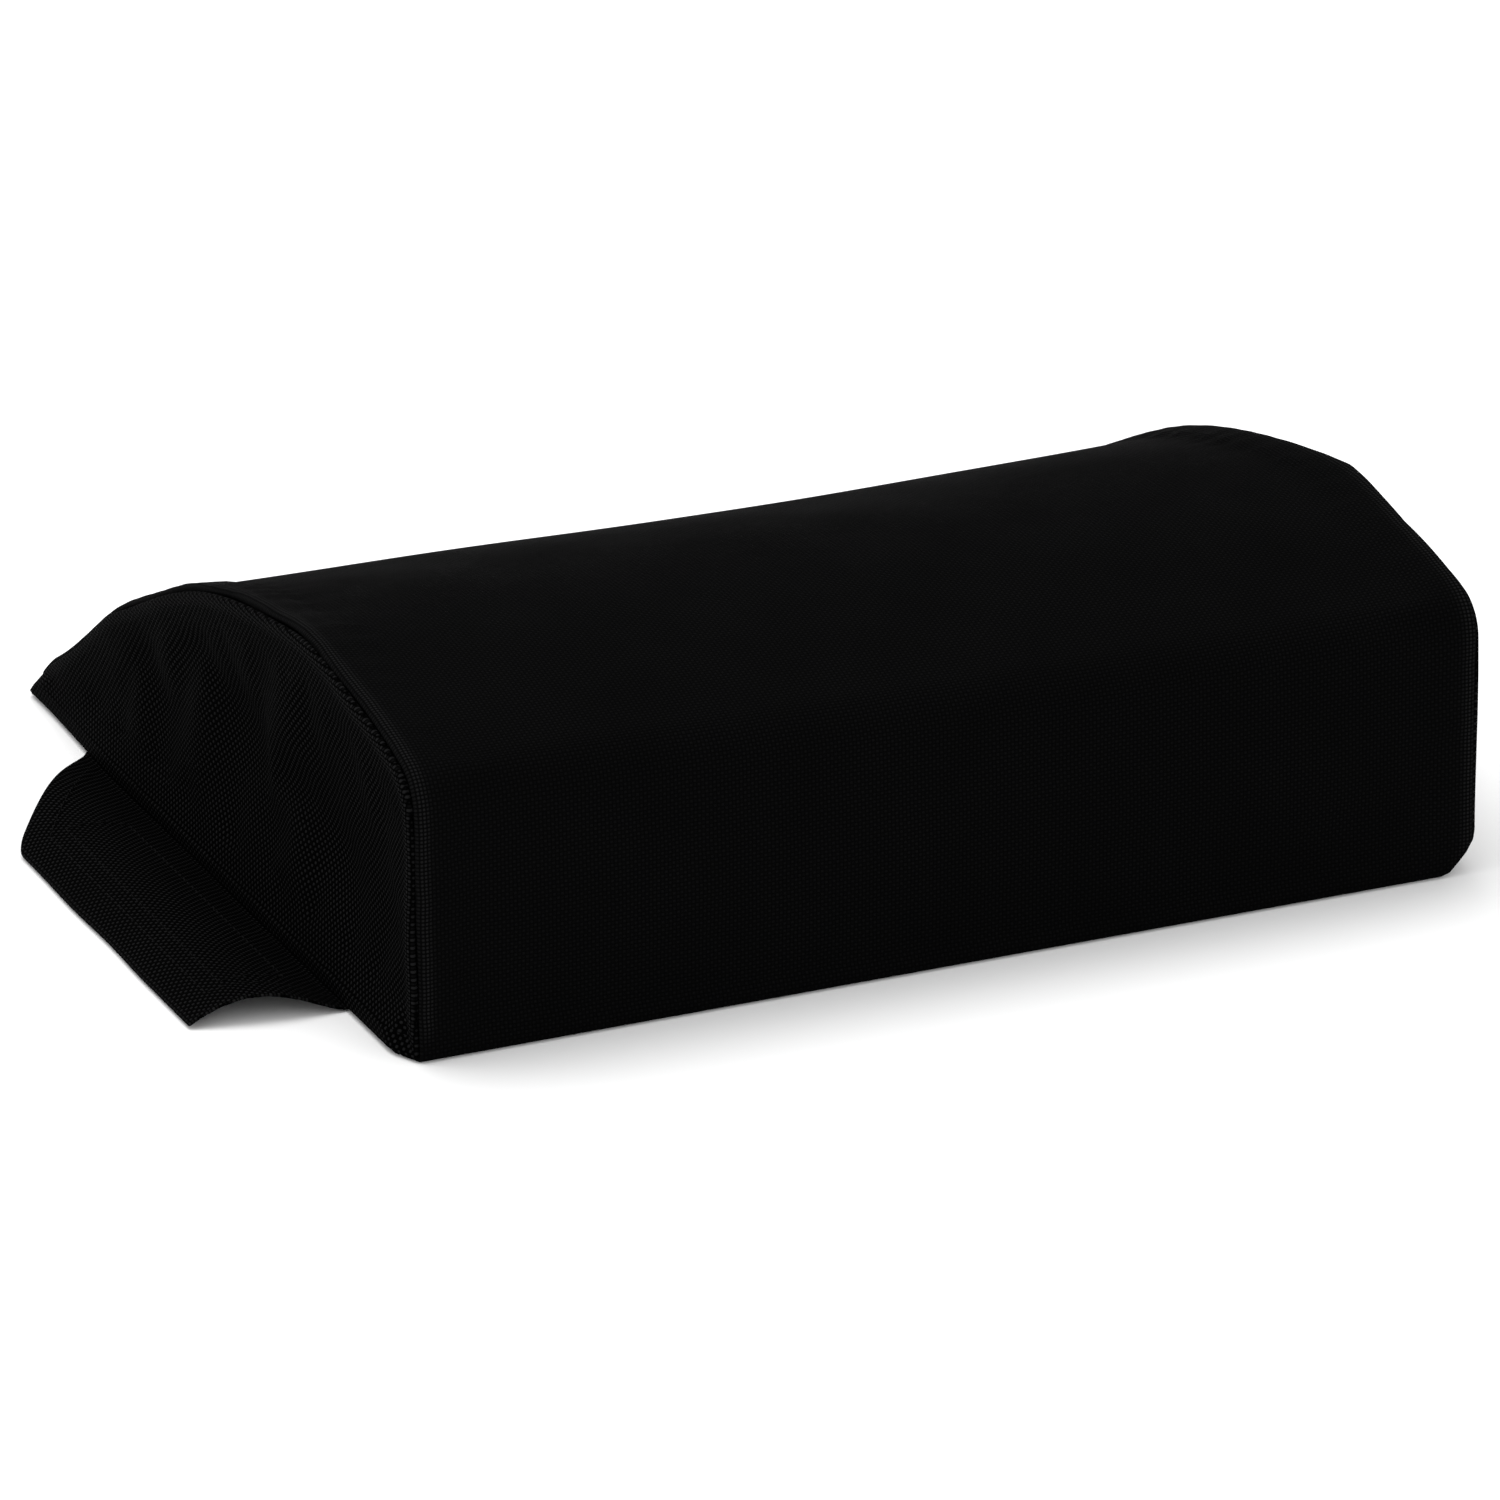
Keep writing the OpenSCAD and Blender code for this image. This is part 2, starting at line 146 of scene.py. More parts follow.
def make_stage():
    """The camera, soft studio light from all round with three softboxes, and a white floor."""
    add_camera()
    world = bpy.data.worlds.new("studio")
    world.use_nodes = True
    world.node_tree.nodes["Background"].inputs["Color"].default_value = (1, 1, 1, 1)
    world.node_tree.nodes["Background"].inputs["Strength"].default_value = WORLD_STRENGTH
    bpy.context.scene.world = world
    add_softbox("top_softbox", (-0.35, 0.7, 2.2), (2.4, 1.6), 40)
    add_softbox("left_softbox", (-2.2, -0.4, 1.3), (1.2, 1.2), 4)
    add_softbox("front_softbox", (0.9, -2.2, 1.5), (1.6, 1.2), 8)
    add_floor()


# ---- materials ----

FACTOR_OUTPUT, OBJECT_OUTPUT = 2, 3               # of the attribute and texture coordinate nodes


class Graph:
    """A short way to write a material's nodes."""

    def __init__(self, name):
        self.mat = bpy.data.materials.new(name)
        self.mat.use_nodes = True
        self.tree = self.mat.node_tree
        self.shader = self.tree.nodes["Principled BSDF"]

    def put(self, socket, value):
        if hasattr(value, "is_output"):
            self.tree.links.new(value, socket)
        else:
            socket.default_value = value

    def node(self, kind, out=0, props=None, **inputs):
        n = self.tree.nodes.new(kind)
        for k, v in (props or {}).items():
            setattr(n, k, v)
        for k, v in inputs.items():
            self.put(n.inputs[int(k[1:]) if k[0] == "i" and k[1:].isdigit() else k], v)
        return n.outputs[out]

    def math(self, op, a, b=0.0):
        return self.node("ShaderNodeMath", props={"operation": op}, i0=a, i1=b)

    def noise(self, vector, scale, detail=3.0):
        return self.node("ShaderNodeTexNoise", Vector=vector, Scale=scale, Detail=detail)

    def place(self):
        """The piece's own coordinates, in metres."""
        return self.node("ShaderNodeTexCoord", out=OBJECT_OUTPUT)

    def attribute(self, name):
        return self.node("ShaderNodeAttribute", out=FACTOR_OUTPUT, props={"attribute_name": name})

    def remap(self, value, lo, hi, to_lo, to_hi):
        return self.node("ShaderNodeMapRange", Value=value,
                         **{"From Min": lo, "From Max": hi, "To Min": to_lo, "To Max": to_hi})

    def mix(self, factor, a, b):
        n = self.tree.nodes.new("ShaderNodeMix")
        n.data_type = "RGBA"
        for i, v in ((0, factor), (6, a), (7, b)):
            self.put(n.inputs[i], v)
        return n.outputs[2]

    def bump(self, height, distance, strength, normal=None):
        n = self.tree.nodes.new("ShaderNodeBump")
        n.inputs["Strength"].default_value = strength
        n.inputs["Distance"].default_value = distance
        self.tree.links.new(height, n.inputs["Height"])
        if normal is not None:
            self.tree.links.new(normal, n.inputs["Normal"])
        return n.outputs[0]

    def set(self, **values):
        for k, v in values.items():
            self.put(self.shader.inputs[k.replace("_", " ")], v)


def grey(v, tint=0.0):
    return (v, v, v * (1 + tint), 1)


def plain_weave(g):
    """Height and parity of a plain weave over the mesh's own cloth coordinates, and those coordinates."""
    uv = g.node("ShaderNodeUVMap", props={"uv_map": "cloth"})
    drift = g.noise(uv, 55.0, 2.0)
    sep = g.node("ShaderNodeSeparateXYZ", Vector=uv)
    u, v = sep, sep.node.outputs[1]
    shift = g.math("MULTIPLY", g.math("SUBTRACT", drift, 0.5), YARN_DRIFT)
    a = g.math("ADD", g.math("DIVIDE", u, YARN), shift)
    b = g.math("ADD", g.math("DIVIDE", v, YARN), shift)
    cell = g.math("ADD", g.math("FLOOR", a), g.math("FLOOR", b))
    parity = g.math("MULTIPLY", g.math("FRACT", g.math("MULTIPLY", cell, 0.5)), 2.0)

    def hump(x):
        side = g.math("SUBTRACT", g.math("MULTIPLY", g.math("FRACT", x), 2.0), 1.0)
        return g.math("SUBTRACT", 1.0, g.math("MULTIPLY", side, side))

    ha, hb = hump(a), hump(b)

    def float_height(across, along):
        return g.math("MULTIPLY", g.math("SQRT", across), g.math("ADD", g.math("MULTIPLY", along, 0.6), 0.4))

    warp, weft = float_height(ha, hb), float_height(hb, ha)
    picked = g.node("ShaderNodeMix", Factor=parity, A=warp, B=weft)
    return picked, parity, uv


def cover_cloth():
    """Coarse near-black outdoor cloth: plain weave painted with highlights on the yarns of one direction and
    shade on the other and in the gaps between yarns, a faint sheen, and paler wear on rolled edges.
    """
    g = Graph("cover_cloth")
    height, parity, uv = plain_weave(g)
    wear = g.attribute("wear")
    fibre = g.noise(uv, 2600.0, 2.0)
    patch = g.noise(uv, 24.0, 3.0)
    dots = g.attribute("dots")
    # Painted light on the weave: floats of one yarn direction are painted lit, floats of the other are
    # painted shaded, and the gaps are painted as shade. dots sets how strong this painted light is, and at
    # dots 0 the cloth is also painted darker overall.
    painted_lit_float = g.mix(dots, grey(0.0041, 0.03), grey(0.0108, 0.03))
    painted_shaded_float = g.mix(dots, grey(0.0027, 0.04), grey(0.0008, 0.04))
    gap = g.mix(dots, grey(0.0019, 0.03), grey(0.0004))
    # Painted shade low between the yarns, and the painted lit or shaded float colour on their tops.
    painted_yarn_light = g.mix(g.remap(height, 0.45, 0.9, 0.0, 1.0), gap, g.mix(parity, painted_shaded_float, painted_lit_float))
    varied = g.mix(g.remap(patch, 0.3, 0.7, 0.0, 0.3), painted_yarn_light, grey(0.0016, 0.02))
    worn = g.mix(g.math("MULTIPLY", wear, g.remap(height, 0.6, 1.0, 0.0, 0.6)), varied, grey(0.016, 0.02))
    rough = g.remap(g.math("ADD", g.math("MULTIPLY", fibre, 0.5), g.math("MULTIPLY", patch, 0.5)),
                    0.3, 0.7, 0.5, 0.68)
    yarn_bump = g.bump(height, 0.45 * MM, 0.9)
    fibre_bump = g.bump(fibre, 0.05 * MM, 0.35, yarn_bump)
    g.set(Base_Color=worn, Roughness=rough, Specular_IOR_Level=0.001, Normal=fibre_bump,
          Sheen_Weight=0.001, Sheen_Roughness=0.35, Sheen_Tint=grey(0.9))
    return g.mat


def thread_material():
    """Twisted black sewing thread."""
    g = Graph("sewing_thread")
    place = g.place()
    twist = g.node("ShaderNodeTexWave", out=1, Vector=place, Scale=900.0, Distortion=1.5)
    fuzz = g.noise(place, 4000.0)
    tone = g.mix(twist, grey(0.002), grey(0.007, 0.03))
    g.set(Base_Color=tone, Roughness=g.remap(fuzz, 0.3, 0.7, 0.4, 0.6), Specular_IOR_Level=0.01,
          Normal=g.bump(twist, 0.1 * MM, 0.6), Sheen_Weight=0.002)
    return g.mat


def tape_material():
    """Dense twill of the zip tape."""
    g = Graph("zip_tape_twill")
    place = g.place()
    ribs = g.node("ShaderNodeTexWave", out=1, Vector=place, Scale=420.0, Distortion=0.6)
    fuzz = g.noise(place, 3000.0)
    tone = g.mix(ribs, grey(0.004), grey(0.011, 0.03))
    g.set(Base_Color=tone, Roughness=g.remap(fuzz, 0.3, 0.7, 0.55, 0.8), Specular_IOR_Level=0.05,
          Normal=g.bump(ribs, 0.15 * MM, 0.7), Sheen_Weight=0.02)
    return g.mat


def teeth_material():
    """Moulded acetal, satin, with faint flow marks."""
    g = Graph("zip_teeth_acetal")
    place = g.place()
    flow = g.noise(place, 700.0)
    g.set(Base_Color=g.mix(flow, grey(0.010), grey(0.018)), Roughness=g.remap(flow, 0.3, 0.7, 0.28, 0.42),
          Specular_IOR_Level=0.4, Normal=g.bump(flow, 0.03 * MM, 0.4))
    return g.mat


def enamel_material():
    """Black enamel on die-cast zinc, with the metal showing through at rubbed spots."""
    g = Graph("zip_black_enamel")
    place = g.place()
    peel = g.noise(place, 1500.0)
    rub = g.remap(g.noise(place, 260.0, 5.0), 0.66, 0.74, 0.0, 1.0)
    g.set(Base_Color=g.mix(rub, grey(0.012), grey(0.16, 0.02)), Metallic=g.math("MULTIPLY", rub, 0.8),
          Roughness=g.remap(peel, 0.3, 0.7, 0.22, 0.38), Specular_IOR_Level=0.5, Coat_Weight=0.3,
          Coat_Roughness=0.2, Normal=g.bump(peel, 0.02 * MM, 0.5))
    return g.mat


def foam_material():
    """Open-cell foam: fine pores in matt cream."""
    g = Graph("open_cell_foam")
    place = g.place()
    pores = g.node("ShaderNodeTexVoronoi", Vector=place, Scale=650.0)
    tone = g.mix(g.remap(pores, 0.0, 0.6, 0.0, 1.0), (0.42, 0.36, 0.22, 1), (0.8, 0.73, 0.53, 1))
    blotch = g.noise(place, 18.0)
    g.set(Base_Color=g.mix(g.remap(blotch, 0.3, 0.7, 0.0, 0.3), tone, (0.74, 0.64, 0.4, 1)),
          Roughness=g.remap(blotch, 0.3, 0.7, 0.85, 0.98), Specular_IOR_Level=0.2,
          Normal=g.bump(pores, 0.6 * MM, 0.8))
    return g.mat


def wadding_material():
    """Bonded polyester fibre."""
    g = Graph("fibre_wadding")
    place = g.place()
    tangle = g.noise(place, 240.0, 6.0)
    strands = g.node("ShaderNodeTexWave", out=1, Vector=place, Scale=160.0, Distortion=14.0, Detail=4.0)
    mixed = g.math("MULTIPLY", g.math("ADD", tangle, strands), 0.5)
    g.set(Base_Color=g.mix(mixed, (0.62, 0.62, 0.6, 1), (0.9, 0.9, 0.88, 1)),
          Roughness=g.remap(tangle, 0.3, 0.7, 0.8, 1.0), Specular_IOR_Level=0.2,
          Normal=g.bump(mixed, 1.2 * MM, 0.9), Sheen_Weight=0.3)
    return g.mat


def grip_material(name, scale, low, high, depth):
    """A field of hooks or brushed loops on the fixing tapes."""
    g = Graph(name)
    place = g.place()
    dots = g.node("ShaderNodeTexVoronoi", Vector=place, Scale=scale)
    curl = g.noise(place, scale * 2.2, 4.0)
    field = g.math("MULTIPLY", g.math("SUBTRACT", 1.0, dots), g.math("ADD", curl, 0.3))
    g.set(Base_Color=g.mix(field, grey(low), grey(high)), Roughness=g.remap(curl, 0.3, 0.7, 0.45, 0.75),
          Specular_IOR_Level=0.06, Normal=g.bump(field, depth, 1.0), Sheen_Weight=0.01)
    return g.mat


MATERIALS = {
    "cover_cloth": cover_cloth(), "thread": thread_material(), "zip_tape": tape_material(),
    "zip_teeth": teeth_material(), "zip_metal": enamel_material(), "foam": foam_material(),
    "wadding": wadding_material(),
    "hook_tape": grip_material("hook_field", 900.0, 0.002, 0.010, 0.8 * MM),
    "loop_tape": grip_material("loop_field", 420.0, 0.003, 0.012, 0.5 * MM),
}


# ---- the section, as points (y, z) ----

def unit(v):
    return np.asarray(v, float) / np.linalg.norm(v)


def meet(p, u, q, v):
    """Where the line from p along u meets the line from q along v."""
    w = np.asarray(q, float) - p
    return np.asarray(p, float) + np.asarray(u) * (w[0] * v[1] - w[1] * v[0]) / (u[0] * v[1] - u[1] * v[0])


def section_corners():
    """Corners of the cover's section, anticlockwise, as (point, radius)."""
    centre = np.array([Y_FRONT + CROWN_Y, BODY_H - CROWN_R])
    shoulder_at = centre + CROWN_R * np.array([-math.sin(SHOULDER), math.cos(SHOULDER)])
    slope_at = centre + CROWN_R * np.array([math.sin(SLOPE), math.cos(SLOPE)])
    shoulder_dir = np.array([math.cos(SHOULDER), math.sin(SHOULDER)])
    slope_dir = np.array([math.cos(SLOPE), -math.sin(SLOPE)])
    foot = np.array([Y_FRONT, 0])
    tip = np.array([Y_BACK, 0])
    shoulder_top = meet(foot, unit([FRONT_LEAN, BODY_H]), shoulder_at, shoulder_dir)
    crown_top = meet(shoulder_at, shoulder_dir, slope_at, slope_dir)
    tail_top = meet(crown_top, slope_dir, tip, [-math.cos(TAIL_ANGLE), math.sin(TAIL_ANGLE)])
    return [(foot, FOOT_R), (tip, TIP_R), (tail_top, TAIL_TOP_R), (crown_top, CROWN_R),
            (shoulder_top, SHOULDER_R)]


CORNERS = section_corners()
ARC_POINTS = (10, 8, 5, 60, 16)                   # points on each corner's arc
SIDE_POINTS = (90, 8, 24, 3, 26)                  # points between an arc and the next one


def section_loop(inset=0.0):
    """The closed section moved inwards, always with as many points, from the front foot's arc on."""
    n = len(CORNERS)
    arcs = []
    for i, (p, r) in enumerate(CORNERS):
        u = unit(p - CORNERS[i - 1][0])
        v = unit(CORNERS[(i + 1) % n][0] - p)
        turn = math.acos(float(np.clip(u @ v, -1, 1)))
        start = math.atan2(u[1], u[0]) - math.pi / 2
        keep = max(r - inset, 0.4 * MM)
        centre = p + unit(v - u) * (inset + keep) / math.cos(turn / 2)
        angles = start + turn * np.linspace(0, 1, ARC_POINTS[i])
        arcs.append(centre + keep * np.stack([np.cos(angles), np.sin(angles)], 1))
    points = []
    for i, arc in enumerate(arcs):
        nxt = arcs[(i + 1) % n][0]
        share = np.linspace(0, 1, SIDE_POINTS[i] + 2)[1:-1, None]
        points += [arc, arc[-1] + (nxt - arc[-1]) * share]
    return np.concatenate(points)


def loop_normals(loop):
    d = np.roll(loop, -1, 0) - np.roll(loop, 1, 0)
    d /= np.linalg.norm(d, axis=1)[:, None]
    return np.stack([d[:, 1], -d[:, 0]], 1)


LOOP = section_loop()
NORMALS = loop_normals(LOOP)
STEPS = np.linalg.norm(np.roll(LOOP, -1, 0) - LOOP, axis=1)
ARC = np.concatenate([[0], np.cumsum(STEPS)])     # distance round the loop, with the closing point last
ROUND = ARC[-1]


def on_loop(s):
    """Point and outward normal at distance s round the section."""
    s = np.mod(np.atleast_1d(s), ROUND)
    closed, closed_n = np.vstack([LOOP, LOOP[:1]]), np.vstack([NORMALS, NORMALS[:1]])
    p = np.stack([np.interp(s, ARC, closed[:, k]) for k in (0, 1)], 1)
    q = np.stack([np.interp(s, ARC, closed_n[:, k]) for k in (0, 1)], 1)
    return p, q / np.linalg.norm(q, axis=1)[:, None]


def loop_distance(y, z):
    """Distance round the section of its point nearest to (y, z)."""
    return ARC[int(np.argmin((LOOP[:, 0] - y) ** 2 + (LOOP[:, 1] - z) ** 2))]


ZIP_AT = np.array([Y_BACK - ZIP_RISE * math.cos(TAIL_ANGLE), ZIP_RISE * math.sin(TAIL_ANGLE)])
TAIL_UP = np.array([-math.cos(TAIL_ANGLE), math.sin(TAIL_ANGLE)])
S_ZIP_LOW = loop_distance(*(ZIP_AT - TAIL_UP * ZIP_HALF))
S_ZIP_HIGH = loop_distance(*(ZIP_AT + TAIL_UP * ZIP_HALF))
BASE_SEAM_IN = 9 * MM                             # how far under the front edge the base seam runs
S_BASE_SEAM = loop_distance(Y_FRONT + BASE_SEAM_IN, 0)

# ---- cloth edges ----

# A turned seam's cloth, as (distance in from the corner, height above the flat cloth), from flat cloth
# over the rolled ridge and down into the groove.
SEAM_ROLL = np.array([(14, 0), (10.5, .12), (8, .35), (6, .62), (4.6, .74), (3.4, .62), (2.5, .2),
                      (1.95, -.4), (1.75, -1.0), (2.0, -1.75), (2.9, -2.75), (4.4, -4.3)]) * MM
# A folded edge beside the zip, in the same form.
ZIP_FOLD = np.array([(10, 0), (6, .1), (3.4, .22), (1.6, .25), (.6, .05), (.1, -.3), (0, -.62), (.5, -1.0),
                     (3, -1.12), (6, -1.12)]) * MM
# The seam under the front edge, pressed flat.
FLAT_SEAM = np.array([(8, 0), (3, 0), (1.2, .05), (.5, .35), (.4, 1.0), (1.2, 1.6)]) * np.array([1, -1]) * MM


def smooth(x):
    x = np.clip(x, 0, 1)
    return x * x * (3 - 2 * x)


def waves(seed, *coords):
    """A smooth field between about -1 and 1 from a few seeded sine waves over the coordinates (metres)."""
    rng = random.Random(seed)
    total = 0
    for _ in range(7):
        phase = rng.uniform(0, 2 * math.pi)
        arg = phase
        for c in coords:
            arg = arg + c * 2 * math.pi / rng.uniform(0.05, 0.16) * rng.choice((-1, 1))
        total = total + np.sin(arg) * rng.uniform(0.5, 1.0)
    return total / 4


# How far the right end stands out past its CAD plane, by distance behind the front wall.
RIGHT_FLARE = np.array([(0, 14), (60, 13), (105, 17), (150, 11), (200, 5.5), (330, 0)]) * MM


def stand_out(y, z, right):
    """How far an end stands out past its seam plane: the full right end, the left end's low slump."""
    y = y - Y_FRONT
    if right:
        return np.interp(y, *RIGHT_FLARE.T) * smooth((z + 6 * MM) / (20 * MM))
    slump = smooth(y / (14 * MM)) * (1 - 0.5 * smooth((y - 280 * MM) / (90 * MM)))
    return 5 * MM * slump * (1 - smooth((z - 2 * MM) / (20 * MM)))


def seam_line(s, right):
    """Where an end seam runs: how far it stands out along X and up along the section's normal."""
    p, _ = on_loop(s)
    y, z = p[:, 0] - Y_FRONT, p[:, 1]
    seed = 5 if right else 4
    lift = smooth(z / (26 * MM))
    out = 0.5 * MM * waves(seed, s) * lift
    up = (0.4 * MM * waves(seed + 2, s) - 0.6 * MM) * lift
    ear = 2.6 * MM * np.exp(-((y - 102 * MM) / (26 * MM)) ** 2) * smooth((z - 80 * MM) / (20 * MM))
    if right:
        ear = 0.3 * ear
    else:
        ear = ear + 3.6 * MM * np.exp(-((y - 295 * MM) / (26 * MM)) ** 2) * smooth((z - 20 * MM) / (20 * MM))
    return out + stand_out(p[:, 0], z, right), up + ear


def sag(x, y, z):
    """How far the soft top sinks between the two ends, at a place in the body."""
    along = np.clip((x - X0) / (X1 - X0), 0, 1)
    middle = np.sin(math.pi * along ** 1.5)
    return 3.0 * MM * middle * smooth((z - 25 * MM) / (60 * MM)) * smooth((y - Y_FRONT + 25 * MM) / (50 * MM))


def over_flap(x, y, z):
    """Height of the cover's cloth where the flap's root is sewn under the left end seam."""
    near = smooth((y - FLAP_Y0 + 8 * MM) / (5 * MM)) * smooth((FLAP_Y1 + 8 * MM - y) / (5 * MM))
    raised = 1.95 * MM * near * (1 - smooth((x - X0 - 2 * MM) / (5 * MM)))
    return np.maximum(z, raised)


def ridge_wear(edge):
    """How worn the cloth is at a distance in from a turned seam: most on the rolled ridge."""
    return np.exp(-((edge - 4.5 * MM) / (2.2 * MM)) ** 2)


def grid_faces(rows, cols, closed=False):
    faces = []
    for i in range(rows - 1):
        for j in range(cols if closed else cols - 1):
            k = (j + 1) % cols
            faces.append((i * cols + j, i * cols + k, (i + 1) * cols + k, (i + 1) * cols + j))
    return faces


def mesh_object(name, verts, faces, uvs=None, wear=None, dots=1.0, flip=False):
    """A smooth mesh with cloth coordinates in metres, wear at each point and the strength of the painted
    highlight and shade on its yarns.
    """
    me = bpy.data.meshes.new(name)
    if flip:
        faces = [tuple(reversed(f)) for f in faces]
    me.from_pydata([tuple(map(float, v)) for v in verts], [], faces)
    me.shade_smooth()
    if uvs is not None:
        layer = me.uv_layers.new(name="cloth")
        loops = np.zeros(len(me.loops), int)
        me.loops.foreach_get("vertex_index", loops)
        layer.data.foreach_set("uv", np.asarray(uvs, float)[loops].ravel())
    if wear is not None:
        me.attributes.new("wear", "FLOAT", "POINT").data.foreach_set("value", np.asarray(wear, float))
        # dots: how strongly the yarns are painted with highlight and shade, the same at every point
        me.attributes.new("dots", "FLOAT", "POINT").data.foreach_set("value", np.full(len(verts), dots))
    ob = bpy.data.objects.new(name, me)
    bpy.context.collection.objects.link(ob)
    return ob


def finish_piece(ob, body, slot_name, *nodes):
    """Gives a piece its body and the material of its slot, and hides the CAD nodes that it stands for."""
    ob.data.materials.clear()
    ob.data.materials.append(MATERIALS[slot_name])
    if body:
        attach(ob, body)
    if nodes:
        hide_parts(*nodes)
    return ob


def thicken(ob, thickness):
    mod = ob.modifiers.new("thickness", "SOLIDIFY")
    mod.thickness = thickness
    mod.offset = -1
    mod.use_even_offset = False


# ---- cloth that finds its own folds ----

SETTLE_STEPS = 20
SETTLE_SCALE = 10.0                               # the solver behaves better on a larger sheet


def set_cloth(mod, slack, pressure, bending):
    cloth = mod.settings
    cloth.vertex_group_mass = "held"
    cloth.quality = 7
    cloth.mass = 0.25
    cloth.air_damping = 2
    cloth.tension_stiffness = cloth.compression_stiffness = 12
    cloth.shear_stiffness = 4
    cloth.bending_stiffness = bending
    cloth.shrink_min = cloth.shrink_max = -slack
    cloth.use_pressure = pressure != 0
    cloth.uniform_pressure_force = pressure
    cloth.effector_weights.gravity = 0
    mod.collision_settings.use_collision = False
    mod.point_cache.frame_start, mod.point_cache.frame_end = 1, SETTLE_STEPS


def settle(verts, faces, held, slack, pressure, cap, bending=0.3):
    """Runs Blender's cloth on a copy, and returns how far each point moves, at most cap."""
    ob = mesh_object("settling_cloth", verts * SETTLE_SCALE, faces)
    group = ob.vertex_groups.new(name="held")
    for i, weight in enumerate(held):
        if weight > 0:
            group.add([i], float(weight), "REPLACE")
    set_cloth(ob.modifiers.new("cloth", "CLOTH"), slack, pressure, bending)
    scene = bpy.context.scene
    for step in range(1, SETTLE_STEPS + 1):
        scene.frame_set(step)
    evaluated = ob.evaluated_get(bpy.context.evaluated_depsgraph_get())
    moved = np.zeros(len(verts) * 3)
    evaluated.to_mesh().vertices.foreach_get("co", moved)
    evaluated.to_mesh_clear()
    bpy.data.objects.remove(ob)
    scene.frame_set(1)
    shift = moved.reshape(-1, 3) / SETTLE_SCALE - verts
    length = np.linalg.norm(shift, axis=1, keepdims=True)
    return shift * cap / np.maximum(cap, length)


# ---- wrap panel ----

def with_lines(axis, lines):
    """Adds exact positions to an edge_axis result, dropping plain ones that lie too close to them."""
    room = 1.2 * MM
    plain = [tuple(p) for p in axis if p[1] != 0 or all(abs(p[0] - q) > room for q in lines)]
    return np.array(sorted(plain + [(q, 0.0) for q in lines], key=lambda p: p[0]))


def edge_axis(length, step, roll_a, roll_b):
    """Positions along one direction of a panel, with a rolled edge at each end, as (distance, height)."""
    inner_a, inner_b = roll_a[0, 0], length - roll_b[0, 0]
    n = max(2, int(round((inner_b - inner_a) / step)))
    middle = [(inner_a + (inner_b - inner_a) * k / n, 0.0) for k in range(1, n)]
    start = [tuple(p) for p in roll_a[::-1]]
    end = [(length - p[0], p[1]) for p in roll_b]
    return np.array(start + middle + end)


def wrap_field(s, x):
    """How far the wrap stands above the plain section: slow unevenness, a full front and end puckers."""
    p, _ = on_loop(s)
    y, z = p[:, 0][:, None] - Y_FRONT, p[:, 1][:, None]
    s = s[:, None]
    from_left, from_right = (x - X0)[None, :], (X1 - x)[None, :]
    ends = smooth(from_left / (55 * MM)) * smooth(from_right / (55 * MM))
    free = smooth(z / (22 * MM)) * smooth((BODY_D - 28 * MM - y) / (60 * MM))
    wall = np.exp(-((z - 50 * MM) / (26 * MM)) ** 2) * smooth((12 * MM - y) / (8 * MM))
    full = 1.0 * MM * wall * ends
    uneven = 0.5 * MM * waves(11, s * 0.6, x[None, :] * 0.6) * free
    pucker_wave = np.sin(s / (15 * MM) * 2 * math.pi + 2.0 * waves(21, s))
    pucker = 0.18 * MM * pucker_wave * (np.exp(-((from_left - 15 * MM) / (11 * MM)) ** 2)
                                        + np.exp(-((from_right - 15 * MM) / (11 * MM)) ** 2))
    return full + uneven + pucker * free


def panel_grid(s, x, along_s, along_x, field):
    """Places a panel's grid round the section, with its rolled ends on the seam lines."""
    p, n = on_loop(s)
    out_l, up_l = seam_line(s, False)
    out_r, up_r = seam_line(s, True)
    near_l = np.exp(-np.maximum(x - X0 - 4 * MM, 0) / (16 * MM))[None, :]
    near_r = np.exp(-np.maximum(X1 - x - 4 * MM, 0) / (16 * MM))[None, :]
    stretch = smooth((x - X0) / (X1 - X0))[None, :] ** 4
    lift = smooth((p[:, 1] - 4 * MM) / (12 * MM))[:, None]
    rise = along_x[:, 1][None, :]
    h = along_s[:, 1][:, None] + rise * np.where(rise > 0, lift, 1) + field
    h = h + up_l[:, None] * near_l + up_r[:, None] * near_r
    px = x[None, :] - out_l[:, None] * near_l + out_r[:, None] * stretch
    py = p[:, 0][:, None] + n[:, 0][:, None] * h
    pz = p[:, 1][:, None] + n[:, 1][:, None] * h
    return px, py, pz, lift


